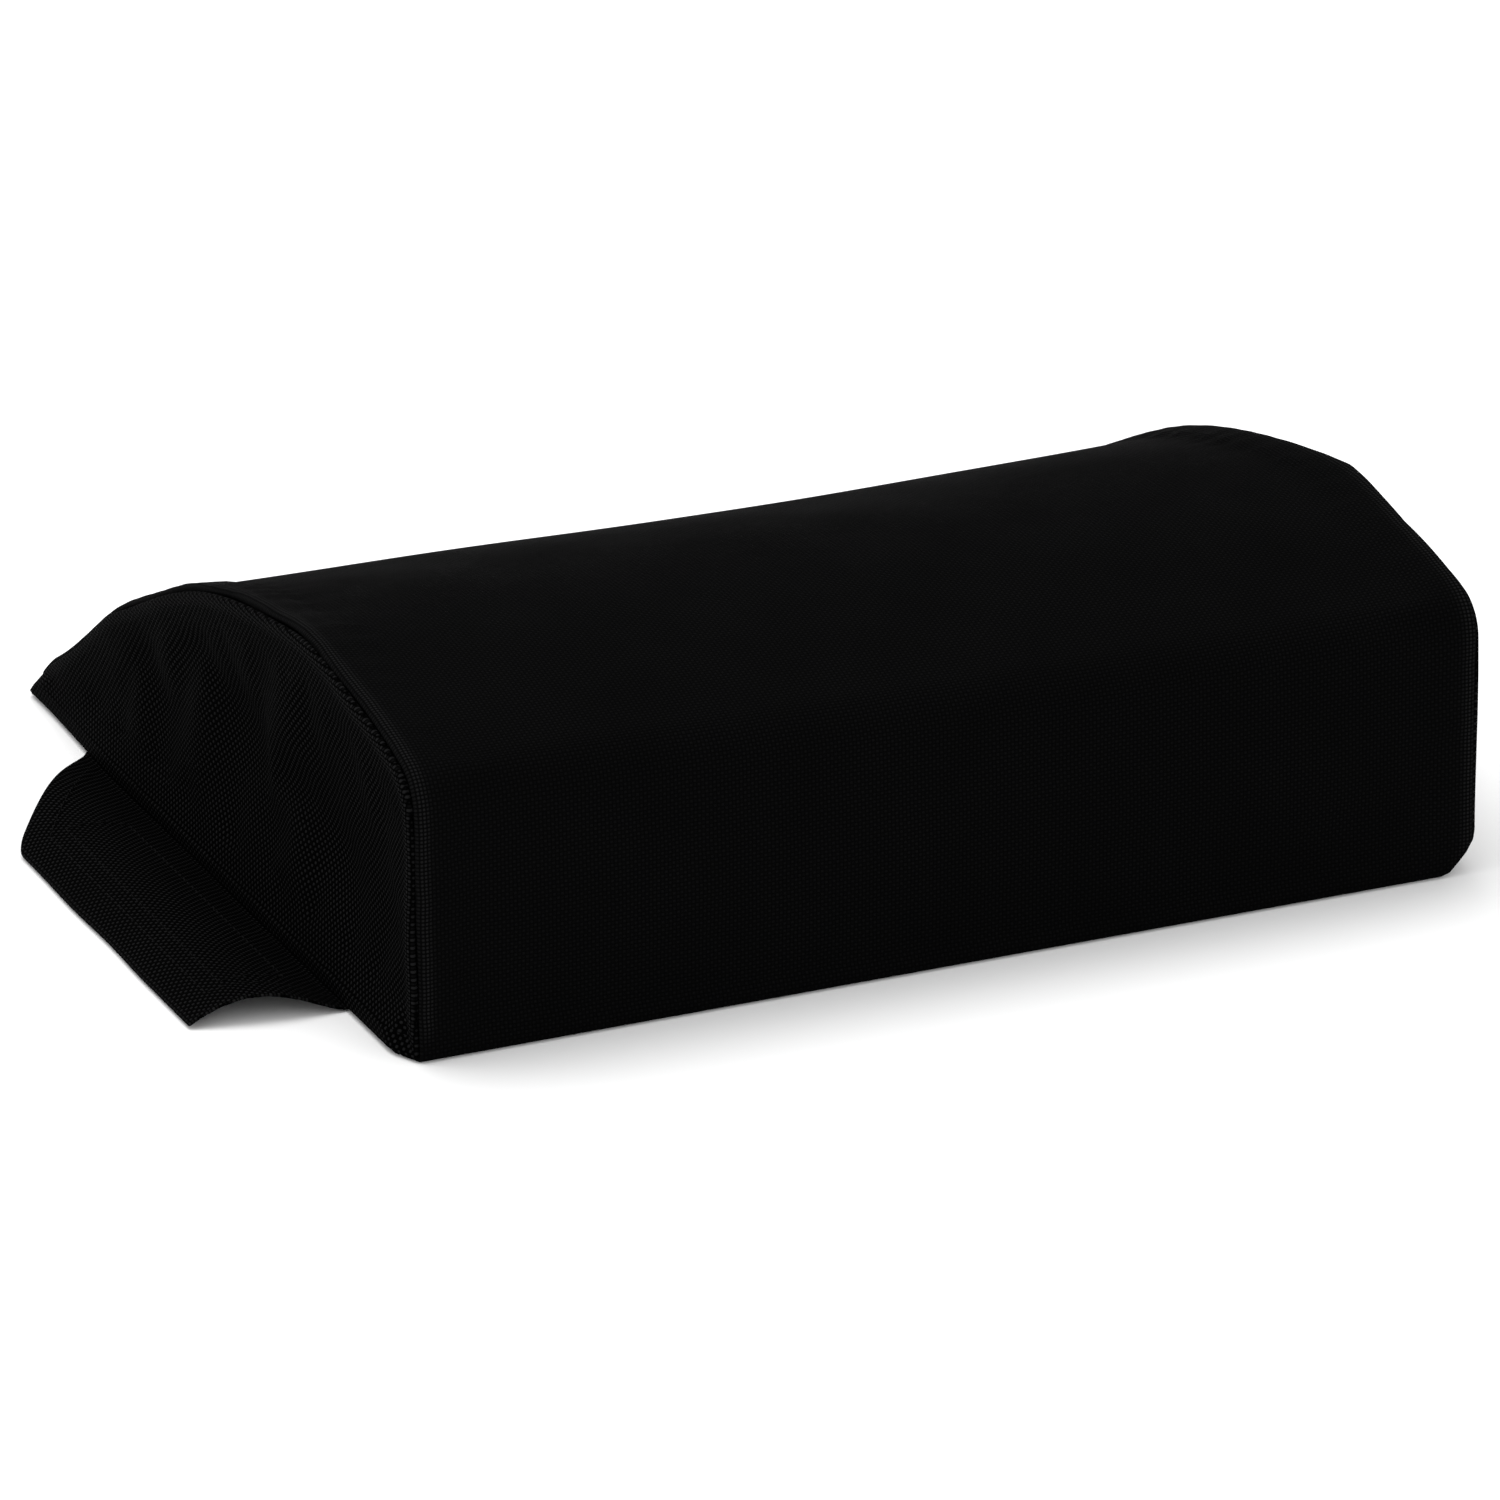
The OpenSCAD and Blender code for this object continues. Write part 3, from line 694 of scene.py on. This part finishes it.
def wrap_panel():
    """One sheet from the base seam, up the front, over the crown and down to the zip's upper fold."""
    length = S_BASE_SEAM + ROUND - S_ZIP_HIGH
    along_s = edge_axis(length, 3.4 * MM, FLAT_SEAM, ZIP_FOLD)
    along_x = edge_axis(X1 - X0, 4 * MM, SEAM_ROLL, SEAM_ROLL)
    s, x = S_BASE_SEAM - along_s[:, 0], X0 + along_x[:, 0]
    px, py, pz, lift = panel_grid(s, x, along_s, along_x, wrap_field(s, x))
    pz = np.maximum(pz - sag(px, py, pz), LOWEST)
    verts = np.stack([px, py, pz], 2).reshape(-1, 3)
    faces = grid_faces(len(s), len(x))
    edge = np.minimum(x - X0, X1 - x)[None, :]
    tail = (BODY_D - (py - Y_FRONT) - 24 * MM) / (40 * MM)
    inner = np.broadcast_to((edge - 7 * MM) / (20 * MM), px.shape)
    free = smooth(inner) * smooth(pz / (16 * MM)) * smooth(tail)
    shift = settle(verts, faces, (1 - free).ravel() ** 2, 0.004, -0.6, 1.6 * MM)
    verts += shift * np.minimum(free.ravel() * 2, 1)[:, None]
    uvs = np.stack([px, np.broadcast_to(s[:, None], px.shape)], 2).reshape(-1, 2)
    wear = (np.broadcast_to(ridge_wear(edge), px.shape) * lift).ravel()
    # dots 0: the wrap's yarns get only faint painted highlights, and the wrap is painted darker than the
    # ends, as a shaded copy of the same cloth.
    ob = mesh_object("wrap_panel_cloth", verts, faces, uvs, wear, dots=0.0)
    thicken(ob, PANEL_T)
    return finish_piece(ob, "cover", "cover_cloth", "wrap_panel")


# ---- end panels ----

def dent(y, z, at, size, depth, tilt=0.0):
    """A soft hollow at a point of the end panel, in metres."""
    c, sn = math.cos(tilt), math.sin(tilt)
    dy, dz = y - at[0], z - at[1]
    a, b = (dy * c + dz * sn) / size[0], (dz * c - dy * sn) / size[1]
    return depth * np.exp(-(a * a + b * b))


def left_field(y, z, edge):
    """How far the slack left end panel sinks in, at a distance from its seam."""
    yf = y - Y_FRONT
    sink = 2.2 * MM * smooth(edge / (40 * MM))
    sink += dent(yf, z, (176 * MM, 60 * MM), (38 * MM, 18 * MM), 6.0 * MM, 0.15)
    sink += dent(yf, z, (88 * MM, 46 * MM), (28 * MM, 15 * MM), 5.0 * MM, 0.35)
    sink += dent(yf, z, (256 * MM, 48 * MM), (14 * MM, 26 * MM), 2.0 * MM, -0.5)
    sink -= dent(yf, z, (155 * MM, 22 * MM), (120 * MM, 13 * MM), 1.2 * MM)
    sink -= dent(yf, z, (130 * MM, 76 * MM), (14 * MM, 34 * MM), 1.8 * MM, 0.5)
    sink += 0.6 * MM * waves(31, y * 1.4, z * 1.4)
    return -sink * smooth((edge - 5 * MM) / (16 * MM))


def right_field(y, z, edge):
    """The full right end panel stands out, over the foam."""
    yf = y - Y_FRONT
    dome = 5 * MM * (1 - np.exp(-edge / (16 * MM))) * smooth((350 * MM - yf) / (200 * MM))
    return (dome + 0.6 * MM * waves(37, y * 1.3, z * 1.3)) * smooth((edge - 5 * MM) / (12 * MM))


TOP = LOOP[(LOOP[:, 1] > 3 * MM) & (NORMALS[:, 1] > 0.02)]
TOP_Y, TOP_Z = TOP[:, 0], TOP[:, 1]


def edge_distance(y, z):
    """About the distance in from the section's edge, without a crease where two sides are equally near."""
    order = np.argsort(TOP_Y)
    top = np.interp(y, TOP_Y[order], TOP_Z[order])
    slope = np.interp(y, TOP_Y[order], np.gradient(TOP_Z[order], TOP_Y[order] + 1e-7 * np.arange(len(order))))
    sides = (z, (top - z) / np.sqrt(1 + np.clip(slope, -2, 2) ** 2), y - Y_FRONT)
    return sum(np.maximum(d, 0.3 * MM) ** -3.0 for d in sides) ** (-1 / 3)


def settled_field(field, slack, pressure, cap):
    """The end panel's own folds: a square-meshed sheet is settled, and sampled where the panel needs it."""
    step = 3.6 * MM
    ys = np.arange(Y_FRONT - step, Y_BACK + 2 * step, step)
    zs = np.arange(-step, BODY_H + 2 * step, step)
    gy, gz = (a.ravel() for a in np.meshgrid(ys, zs))
    edge = edge_distance(gy, gz)
    x = field(gy, gz, edge) + 0.15 * MM * waves(43, gy * 3, gz * 3)
    verts = np.column_stack([x, gy, gz])
    held = 1 - smooth((edge - 9 * MM) / (12 * MM))
    shift = settle(verts, grid_faces(len(zs), len(ys)), held, slack, pressure, cap, bending=2.5)
    shift *= smooth((edge - 7 * MM) / (10 * MM))[:, None]
    table = shift.reshape(len(zs), len(ys), 3)

    def sample(y, z):
        fy = np.clip((y - ys[0]) / step, 0, len(ys) - 1.001)
        fz = np.clip((z - zs[0]) / step, 0, len(zs) - 1.001)
        iy, iz = fy.astype(int), fz.astype(int)
        ty, tz = (fy - iy)[:, None], (fz - iz)[:, None]
        low = table[iz, iy] * (1 - ty) + table[iz, iy + 1] * ty
        high = table[iz + 1, iy] * (1 - ty) + table[iz + 1, iy + 1] * ty
        return low * (1 - tz) + high * tz
    return sample


INNER_RINGS = 34


def end_panel(name, right, field, settled, node):
    """A sheet inside an end seam: rings that follow the seam's roll, then shrink to the middle."""
    side = 1 if right else -1
    x_seam = X1 if right else X0
    roll = SEAM_ROLL[::-1][:-2]
    max_inset = roll[-1, 0]
    out, up = seam_line(ARC[:-1], right)
    waver = out - stand_out(*LOOP.T, right)
    lift = smooth((LOOP[:, 1] - 1 * MM) / (10 * MM))
    rings, insets = [], []
    for inset, rise in roll:
        ring = section_loop(inset) + NORMALS * up[:, None]
        stand = rise * np.where(rise > 0, lift, 1)
        rings.append(np.column_stack([x_seam + side * (out + stand), ring]))
        insets.append(np.full(len(ring), inset))
    rim = section_loop(max_inset) + NORMALS * up[:, None]
    middle = np.array([Y_FRONT + 132 * MM, 46 * MM])
    for k in range(1, INNER_RINGS):
        t = k / INNER_RINGS
        ring = rim + (middle - rim) * t
        edge = edge_distance(ring[:, 0], ring[:, 1])
        fold = settled(ring[:, 0], ring[:, 1])
        stand = np.interp(edge, *SEAM_ROLL[:4][::-1].T) * lift * (1 - t) ** 14
        sunk = field(ring[:, 0], ring[:, 1], edge) + fold[:, 0]
        wide = stand_out(ring[:, 0], ring[:, 1], right) * ((1 - t) ** 0.7 if right else 1)
        x = x_seam + side * (waver * (1 - t) ** 5 + wide + stand + sunk)
        rings.append(np.column_stack([x, ring + fold[:, 1:]]))
        insets.append(edge)
    centre = rings[-1].mean(0)
    verts = np.concatenate(rings + [centre[None]])
    verts[:, 2] = np.maximum(verts[:, 2], LOWEST)
    if not right:
        verts[:, 2] = over_flap(*verts.T)
    cols = len(LOOP)
    faces = grid_faces(len(rings), cols, closed=True)
    last, tip = (len(rings) - 1) * cols, len(verts) - 1
    faces += [(last + j, last + (j + 1) % cols, tip) for j in range(cols)]
    wear = np.concatenate([ridge_wear(e) * lift for e in insets] + [[0]])
    # Default dots 1: the end panels' yarns get the strongest painted highlights and shade.
    ob = mesh_object(name, verts, faces, verts[:, 1:3], wear, flip=not right)
    ob.modifiers.new("weld", "WELD").merge_threshold = 0.5 * MM
    thicken(ob, PANEL_T)
    return finish_piece(ob, "cover", "cover_cloth", node)


# ---- base panel ----

def base_panel():
    """The flat base, raised over the loop tape and turned up the tail to the zip's lower fold."""
    bed_lo, bed_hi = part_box("loop_tape")
    clear, wall, snap = 0.35 * MM, 1.3 * MM, 0.01 * MM
    length = S_ZIP_LOW - S_BASE_SEAM
    lines_s = [loop_distance(y, 0) - S_BASE_SEAM for y in (bed_lo.y - clear, bed_hi.y + clear)]
    lines_s = [lines_s[0] - wall, lines_s[0], lines_s[1], lines_s[1] + wall]
    lines_x = [bed_lo.x - clear - wall - X0, bed_lo.x - clear - X0, bed_hi.x + clear - X0,
               bed_hi.x + clear + wall - X0]
    along_s = with_lines(edge_axis(length, 5 * MM, FLAT_SEAM, ZIP_FOLD), lines_s)
    along_x = with_lines(edge_axis(X1 - X0, 5 * MM, SEAM_ROLL, SEAM_ROLL), lines_x)
    s, x = S_BASE_SEAM + along_s[:, 0], X0 + along_x[:, 0]
    in_s = (along_s[:, 0] > lines_s[1] - snap) & (along_s[:, 0] < lines_s[2] + snap)
    in_x = (along_x[:, 0] > lines_x[1] - snap) & (along_x[:, 0] < lines_x[2] + snap)
    bed = (in_s[:, None] & in_x[None, :]) * (bed_hi.z + 0.1 * MM)
    px, py, pz, _ = panel_grid(s, x, along_s, along_x, -bed)
    pz = over_flap(px, py, np.maximum(pz, 0.1 * MM))
    verts = np.stack([px, py, pz], 2).reshape(-1, 3)
    # dots 0.3: the base's yarns get a weaker painted highlight and shade.
    ob = mesh_object("base_panel_cloth", verts, grid_faces(len(s), len(x)), verts[:, :2],
                     np.zeros(len(verts)), dots=0.3, flip=True)
    thicken(ob, PANEL_T)
    return finish_piece(ob, "cover", "cover_cloth", "base_panel")


# ---- filling ----

def soft_filling(name, node, voxel, rough):
    """A CAD filling solid with softened edges and an uneven surface, sunk with the top of the cover."""
    src = frame["nodes"][node]
    work = bpy.data.objects.new(name, src.data.copy())
    bpy.context.collection.objects.link(work)
    remesh = work.modifiers.new("remesh", "REMESH")
    remesh.mode, remesh.voxel_size = "VOXEL", voxel
    relax = work.modifiers.new("relax", "SMOOTH")
    relax.iterations = 4
    evaluated = work.evaluated_get(bpy.context.evaluated_depsgraph_get())
    me = bpy.data.meshes.new_from_object(evaluated)
    work.modifiers.clear()
    work.data = me
    co = np.zeros(len(me.vertices) * 3)
    me.vertices.foreach_get("co", co)
    co = co.reshape(-1, 3)
    x, y, z = co.T
    normals = np.zeros(len(co) * 3)
    me.vertices.foreach_get("normal", normals)
    co += normals.reshape(-1, 3) * (rough * (waves(51, x * 3, y * 3, z * 3) - 1))[:, None]
    co[:, 2] -= sag(x, y, z)
    me.vertices.foreach_set("co", co.ravel())
    me.shade_smooth()
    return finish_piece(work, "cover", node.split("_")[0], node)


# ---- thread ----

TOP_STITCH, LOOP_STITCH = 4 * MM, 6 * MM


def stitch_row(path, pitch, radius=0.28 * MM, fill=0.72):
    """Stitches along (point, outward) pairs: round threads that dip into the cloth at their ends."""
    pts = np.array([p for p, _ in path])
    outs = np.array([o for _, o in path])
    far = np.concatenate([[0], np.cumsum(np.linalg.norm(np.diff(pts, axis=0), axis=1))])
    count = max(1, int(far[-1] / pitch))
    length = far[-1] / count
    verts, faces = [], []
    sides, rings = 7, 7
    for k in range(count):
        t = np.linspace(0, 1, rings)
        d = k * length + length * ((1 - fill) / 2 + fill * t)
        centre = np.stack([np.interp(d, far, pts[:, i]) for i in range(3)], 1)
        out = np.stack([np.interp(d, far, outs[:, i]) for i in range(3)], 1)
        dip = radius * (0.75 - 2.4 * np.abs(2 * t - 1) ** 4)
        centre = centre + out * dip[:, None]
        along = centre[-1] - centre[0]
        along /= np.linalg.norm(along)
        start = len(verts)
        for c, o, tt in zip(centre, out, t):
            across = np.cross(along, o)
            r = radius * (0.75 + 0.25 * math.sin(math.pi * tt))
            for a in np.linspace(0, 2 * math.pi, sides, endpoint=False):
                verts.append(c + (o * math.sin(a) + across * math.cos(a)) * r)
        for i in range(rings - 1):
            for j in range(sides):
                a, b = start + i * sides + j, start + i * sides + (j + 1) % sides
                faces.append((a, b, b + sides, a + sides))
        faces.append(tuple(range(start + sides - 1, start - 1, -1)))
        faces.append(tuple(range(start + (rings - 1) * sides, start + rings * sides)))
    return verts, faces


def thread_piece(name, rows, body, *nodes):
    verts, faces = [], []
    for path, pitch in rows:
        v, f = stitch_row(path, pitch)
        faces += [tuple(i + len(verts) for i in face) for face in f]
        verts += v
    return finish_piece(mesh_object(name, verts, faces, flip=True), body, "thread", *nodes)


def corners_inside(a0, a1, y0, y1):
    """The corners of the rectangle that a tape's stitching follows."""
    inset = 2 * MM
    a0, a1, y0, y1 = a0 + inset, a1 - inset, y0 + inset, y1 - inset
    return [(a0, y0), (a0, y1), (a1, y1), (a1, y0)]


# ---- zip ----

ZIP_ORIGIN = np.array([0, *ZIP_AT])
ZIP_DOWN = np.array([0, math.cos(TAIL_ANGLE), -math.sin(TAIL_ANGLE)])
ZIP_OUT = np.array([0, math.sin(TAIL_ANGLE), math.cos(TAIL_ANGLE)])
TOOTH_PITCH = 3 * MM
# One tooth's outline, as (half width, distance from the middle of the zip), with its head past the middle.
TOOTH = np.array([(.66, -.5), (.72, .15), (.45, .9), (.5, 2.5), (.3, 3.05)]) * MM


def at_zip(x, down, out):
    return np.array([x, 0, 0]) + ZIP_ORIGIN + ZIP_DOWN * down + ZIP_OUT * out


def zip_teeth(name, side, node):
    """One row of moulded teeth, gripping its tape's edge and meshing with the other row."""
    lo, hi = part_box(node)
    outline = [(w, d) for w, d in TOOTH] + [(-w, d) for w, d in TOOTH[::-1]]
    levels = ((-1.25, 0.85), (-1.05, 1.0), (0.45, 1.0), (0.75, 0.88), (0.85, 0.6))
    count = int((hi.x - lo.x) / TOOTH_PITCH) + 1
    verts, faces = [], []
    n = len(outline)
    mid = np.mean(outline, axis=0)
    for k in range(count):
        x = lo.x + 0.9 * MM + k * TOOTH_PITCH
        start = len(verts)
        for level, grow in levels:
            for w, d in outline:
                w, d = mid + (np.array([w, d]) - mid) * grow
                verts.append(at_zip(x + w, side * d, level * MM))
        for i in range(len(levels) - 1):
            for j in range(n):
                a, b = start + i * n + j, start + i * n + (j + 1) % n
                faces.append((a, b, b + n, a + n))
        faces.append(tuple(range(start + n - 1, start - 1, -1)))
        faces.append(tuple(range(start + (len(levels) - 1) * n, start + len(levels) * n)))
    ob = mesh_object(name, verts, faces, flip=side < 0)
    ob.data.shade_flat()
    bevel = ob.modifiers.new("bevel", "BEVEL")
    bevel.width, bevel.segments, bevel.limit_method = 0.12 * MM, 1, "ANGLE"
    return finish_piece(ob, "cover", "zip_teeth", node)


def rounded_copy(name, node, body, slot_name, width):
    """A CAD part with its edges rounded."""
    ob = bpy.data.objects.new(name, frame["nodes"][node].data.copy())
    bpy.context.collection.objects.link(ob)
    weld = ob.modifiers.new("weld", "WELD")
    weld.merge_threshold = 0.01 * MM
    flat = ob.modifiers.new("flat_faces", "DECIMATE")
    flat.decimate_type, flat.angle_limit = "DISSOLVE", math.radians(1)
    bevel = ob.modifiers.new("bevel", "BEVEL")
    bevel.width, bevel.segments = width, 3
    bevel.limit_method, bevel.angle_limit = "ANGLE", math.radians(35)
    bevel.harden_normals = True
    ob.data.shade_smooth()
    return finish_piece(ob, body, slot_name, node)


def zip_pieces():
    zip_teeth("zip_teeth_lower_moulded", 1, "zip_teeth_lower")
    zip_teeth("zip_teeth_upper_moulded", -1, "zip_teeth_upper")
    rounded_copy("zip_slider_cast", "zip_slider", "slider", "zip_metal", 0.28 * MM)
    rounded_copy("zip_pull_cast", "zip_pull", "pull", "zip_metal", 0.35 * MM)
    rounded_copy("zip_top_stops_cast", "zip_top_stops", "cover", "zip_metal", 0.3 * MM)
    rounded_copy("zip_bottom_stop_cast", "zip_bottom_stop", "cover", "zip_metal", 0.3 * MM)
    for word in ("upper", "lower"):
        rounded_copy(f"zip_tape_{word}_woven", f"zip_tape_{word}", "cover", "zip_tape", 0.2 * MM)
    for word in ("left", "right"):
        rounded_copy(f"zip_end_tab_{word}_cloth", f"zip_end_tab_{word}", "cover", "zip_tape", 0.25 * MM)
    row = ZIP_HALF + 1.4 * MM
    for side, word in ((1, "lower"), (-1, "upper")):
        along = np.linspace(X0 + 12 * MM, X1 - 12 * MM, 60)
        path = [(at_zip(x, side * row, 0.25 * MM), ZIP_OUT) for x in along]
        thread_piece(f"zip_stitches_{word}", [(path, TOP_STITCH)], "cover", f"zip_thread_{word}")


# ---- fixing flap ----

flap_lo, flap_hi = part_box("fixing_flap")
HINGE = np.array([X0 - 1.5 * MM, 0.2 * MM])       # the flap's fold line, as (x, z)
FLAP_Y0 = flap_lo.y - 2 * MM
FLAP_Y1 = flap_hi.y
FLAP_START = -2.9 * MM                            # tucked into the groove of the end seam
FLAP_REACH = 59 * MM
FLAP_SKEW, FLAP_TAPER, FLAP_CORNER = 9 * MM, 87 * MM, 5 * MM
FLAP_FLAT = 4.5 * MM                              # the part under the end seam, level
FLAP_CREST, FLAP_HEIGHT = 35 * MM, 8.6 * MM
FLAP_T = 1.4 * MM
HEM = 11 * MM
tape_lo, tape_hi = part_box("hook_tape")
TAPE_R0, TAPE_R1 = HINGE[0] - tape_hi.x, HINGE[0] - tape_lo.x


def flap_middle(r):
    """Height of the middle of the flap's cloth: nearly level from its root, then down to the floor."""
    r = np.asarray(r, float)
    rise = np.sin(np.clip((r - FLAP_FLAT) / (FLAP_CREST - FLAP_FLAT), 0, 1) * math.pi / 2) ** 1.15
    fall = 1 - np.clip((r - FLAP_CREST) / (FLAP_REACH - FLAP_CREST), 0, 1) ** 2
    return 1.0 * MM + FLAP_HEIGHT * np.where(r < FLAP_CREST, rise, fall)


def on_flap(r, y):
    """A point on top of the flap and the direction out of it."""
    h = 0.2 * MM
    slope = (flap_middle(r + h) - flap_middle(r - h)) / (2 * h)
    out = unit([slope, 0, 1])
    return np.array([HINGE[0] - r, y, flap_middle(r)]) + out * (FLAP_T / 2 + 0.05 * MM), out


def flap_point(a, b):
    """Plan position for a from the root to the free edge and b from the near edge to the far one."""
    r = FLAP_START + a * (FLAP_REACH - FLAP_START)
    root = FLAP_Y0 + b * (FLAP_Y1 - FLAP_Y0)
    free = FLAP_Y0 + FLAP_SKEW + b * (FLAP_Y1 - FLAP_TAPER - FLAP_Y0 - FLAP_SKEW)
    return r, root + (free - root) * a


def flap_cloth():
    """The stiff, hemmed sheet of the flap, from its root at the cover to its free edge."""
    a = np.concatenate([np.linspace(0, 0.78, 30, endpoint=False), np.linspace(0.78, 1, 12)])
    b = np.concatenate([np.linspace(0, 0.06, 8, endpoint=False), np.linspace(0.06, 0.9, 90, endpoint=False),
                        np.linspace(0.9, 1, 18)])
    ga, gb = np.meshgrid(a, b)
    round_at = 1 - FLAP_CORNER / (FLAP_Y1 - FLAP_TAPER - FLAP_Y0)
    t = np.clip((gb - round_at) / (1 - round_at), 0, 1)
    cut = (1 - np.sqrt(1 - t * t)) * FLAP_CORNER / FLAP_REACH
    r, y = flap_point(ga * (1 - cut * ga ** 2), gb)
    span = r - FLAP_START
    free_edge = FLAP_REACH - r
    near_edge = y - FLAP_Y0 - FLAP_SKEW * r / FLAP_REACH
    far_edge = (FLAP_Y1 - FLAP_TAPER * r / FLAP_REACH - y) * 0.6
    edge = np.minimum(np.minimum(free_edge, near_edge), far_edge)
    hem = 0.35 * MM * (1 - smooth((edge - HEM + 0.8 * MM) / (1.6 * MM)))
    waver = 0.35 * MM * waves(61, y * 0.8) * smooth(span / (20 * MM)) + 0.25 * MM * waves(62, y, r)
    z = flap_middle(r) + hem + waver * smooth(span / (12 * MM)) * smooth(free_edge / (10 * MM))
    sag_edge = 0.4 * MM * waves(63, y * 1.5) * (1 - smooth(free_edge / (8 * MM)))
    verts = np.stack([HINGE[0] - r - sag_edge, y, z], 2).reshape(-1, 3)
    slope_length = np.hypot(np.gradient(r, axis=1), np.gradient(z, axis=1)).cumsum(1)
    uvs = np.stack([slope_length, y], 2).reshape(-1, 2)
    wear = np.exp(-(edge / (1.5 * MM)) ** 2).ravel() * 0.8
    # Default dots 1: the flap's yarns get the strongest painted highlights and shade.
    sheet = mesh_object("fixing_flap_cloth", verts, grid_faces(len(b), len(a)), uvs, wear)
    thicken(sheet, FLAP_T)
    sheet.modifiers["thickness"].offset = 0
    round_edges = sheet.modifiers.new("round_edges", "SUBSURF")
    round_edges.levels = round_edges.render_levels = 1
    finish_piece(sheet, None, "cover_cloth", "fixing_flap")
    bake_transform(sheet)
    return sheet


def hook_tape():
    """The field of hooks under the flap, curved like it."""
    rs, ys = np.linspace(TAPE_R0, TAPE_R1, 20), np.linspace(tape_lo.y, tape_hi.y, 60)
    gr, gy = np.meshgrid(rs, ys)
    tape_t = 1.7 * MM
    gz = flap_middle(gr) - FLAP_T / 2 - tape_t / 2 - 0.4 * MM
    tape = mesh_object("hook_tape_field", np.stack([HINGE[0] - gr, gy, gz], 2).reshape(-1, 3),
                       grid_faces(len(ys), len(rs)))
    thicken(tape, tape_t)
    tape.modifiers["thickness"].offset = 0
    return finish_piece(tape, "flap", "hook_tape", "hook_tape")


def flap_run(p, q):
    """A straight line of stitching on the flap, from p to q as (distance from the hinge, y)."""
    return [on_flap(p[0] + (q[0] - p[0]) * t, p[1] + (q[1] - p[1]) * t) for t in np.linspace(0, 1, 24)]


def fixing_flap():
    """The flap's cloth, and its hook tape and the stitching through both, which go on the flap's body."""
    sheet = flap_cloth()
    tape = hook_tape()
    root = 6 * MM
    near = (FLAP_REACH - HEM, FLAP_Y0 + FLAP_SKEW + HEM)
    far = (FLAP_REACH - HEM, FLAP_Y1 - FLAP_TAPER - HEM / 2)
    ends = [(root, FLAP_Y0 + HEM), near, far, (root, FLAP_Y1 - 2 * HEM)]
    hem_rows = [(flap_run(p, q), TOP_STITCH) for p, q in zip(ends, ends[1:])]
    box = corners_inside(TAPE_R0, TAPE_R1, tape_lo.y, tape_hi.y)
    tape_rows = [(flap_run(box[k], box[(k + 1) % 4]), TOP_STITCH) for k in range(4)]
    hem_thread = thread_piece("flap_hem_stitches", hem_rows, "flap", "flap_hem_thread")
    tape_thread = thread_piece("hook_tape_stitches", tape_rows, "flap", "hook_tape_thread")


def loop_tape():
    """The loop tape on the base, and its stitching."""
    rounded_copy("loop_tape_pile", "loop_tape", "cover", "loop_tape", 0.3 * MM)
    lo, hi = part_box("loop_tape")
    z = lo.z - 0.1 * MM
    down = np.array([0, 0, -1])
    box = corners_inside(lo.x, hi.x, lo.y, hi.y)
    rows = []
    for k in range(4):
        p, q = np.array(box[k]), np.array(box[(k + 1) % 4])
        path = [(np.array([*(p + (q - p) * t), z]), down) for t in np.linspace(0, 1, 12)]
        rows.append((path, LOOP_STITCH))
    thread_piece("loop_tape_stitches", rows, "cover", "loop_tape_thread")


# ---- everything ----

make_stage()
wrap_panel()
end_panel("left_end_cloth", False, left_field, settled_field(left_field, 0.007, 0.0, 4 * MM),
          "left_end_panel")
end_panel("right_end_cloth", True, right_field, settled_field(right_field, 0.01, 1.5, 3 * MM),
          "right_end_panel")
base_panel()
soft_filling("wadding_fleece", "wadding_wrap", 3.5 * MM, 0.5 * MM)
soft_filling("foam_block", "foam_core", 5 * MM, 0.2 * MM)
zip_pieces()
fixing_flap()
loop_tape()

slots = {row["node"]: row["material_slot"] for row in frame["record"]["subparts"]}
for node_name, ob in frame["nodes"].items():
    ob.data.materials.clear()
    ob.data.materials.append(MATERIALS[slots[node_name]])
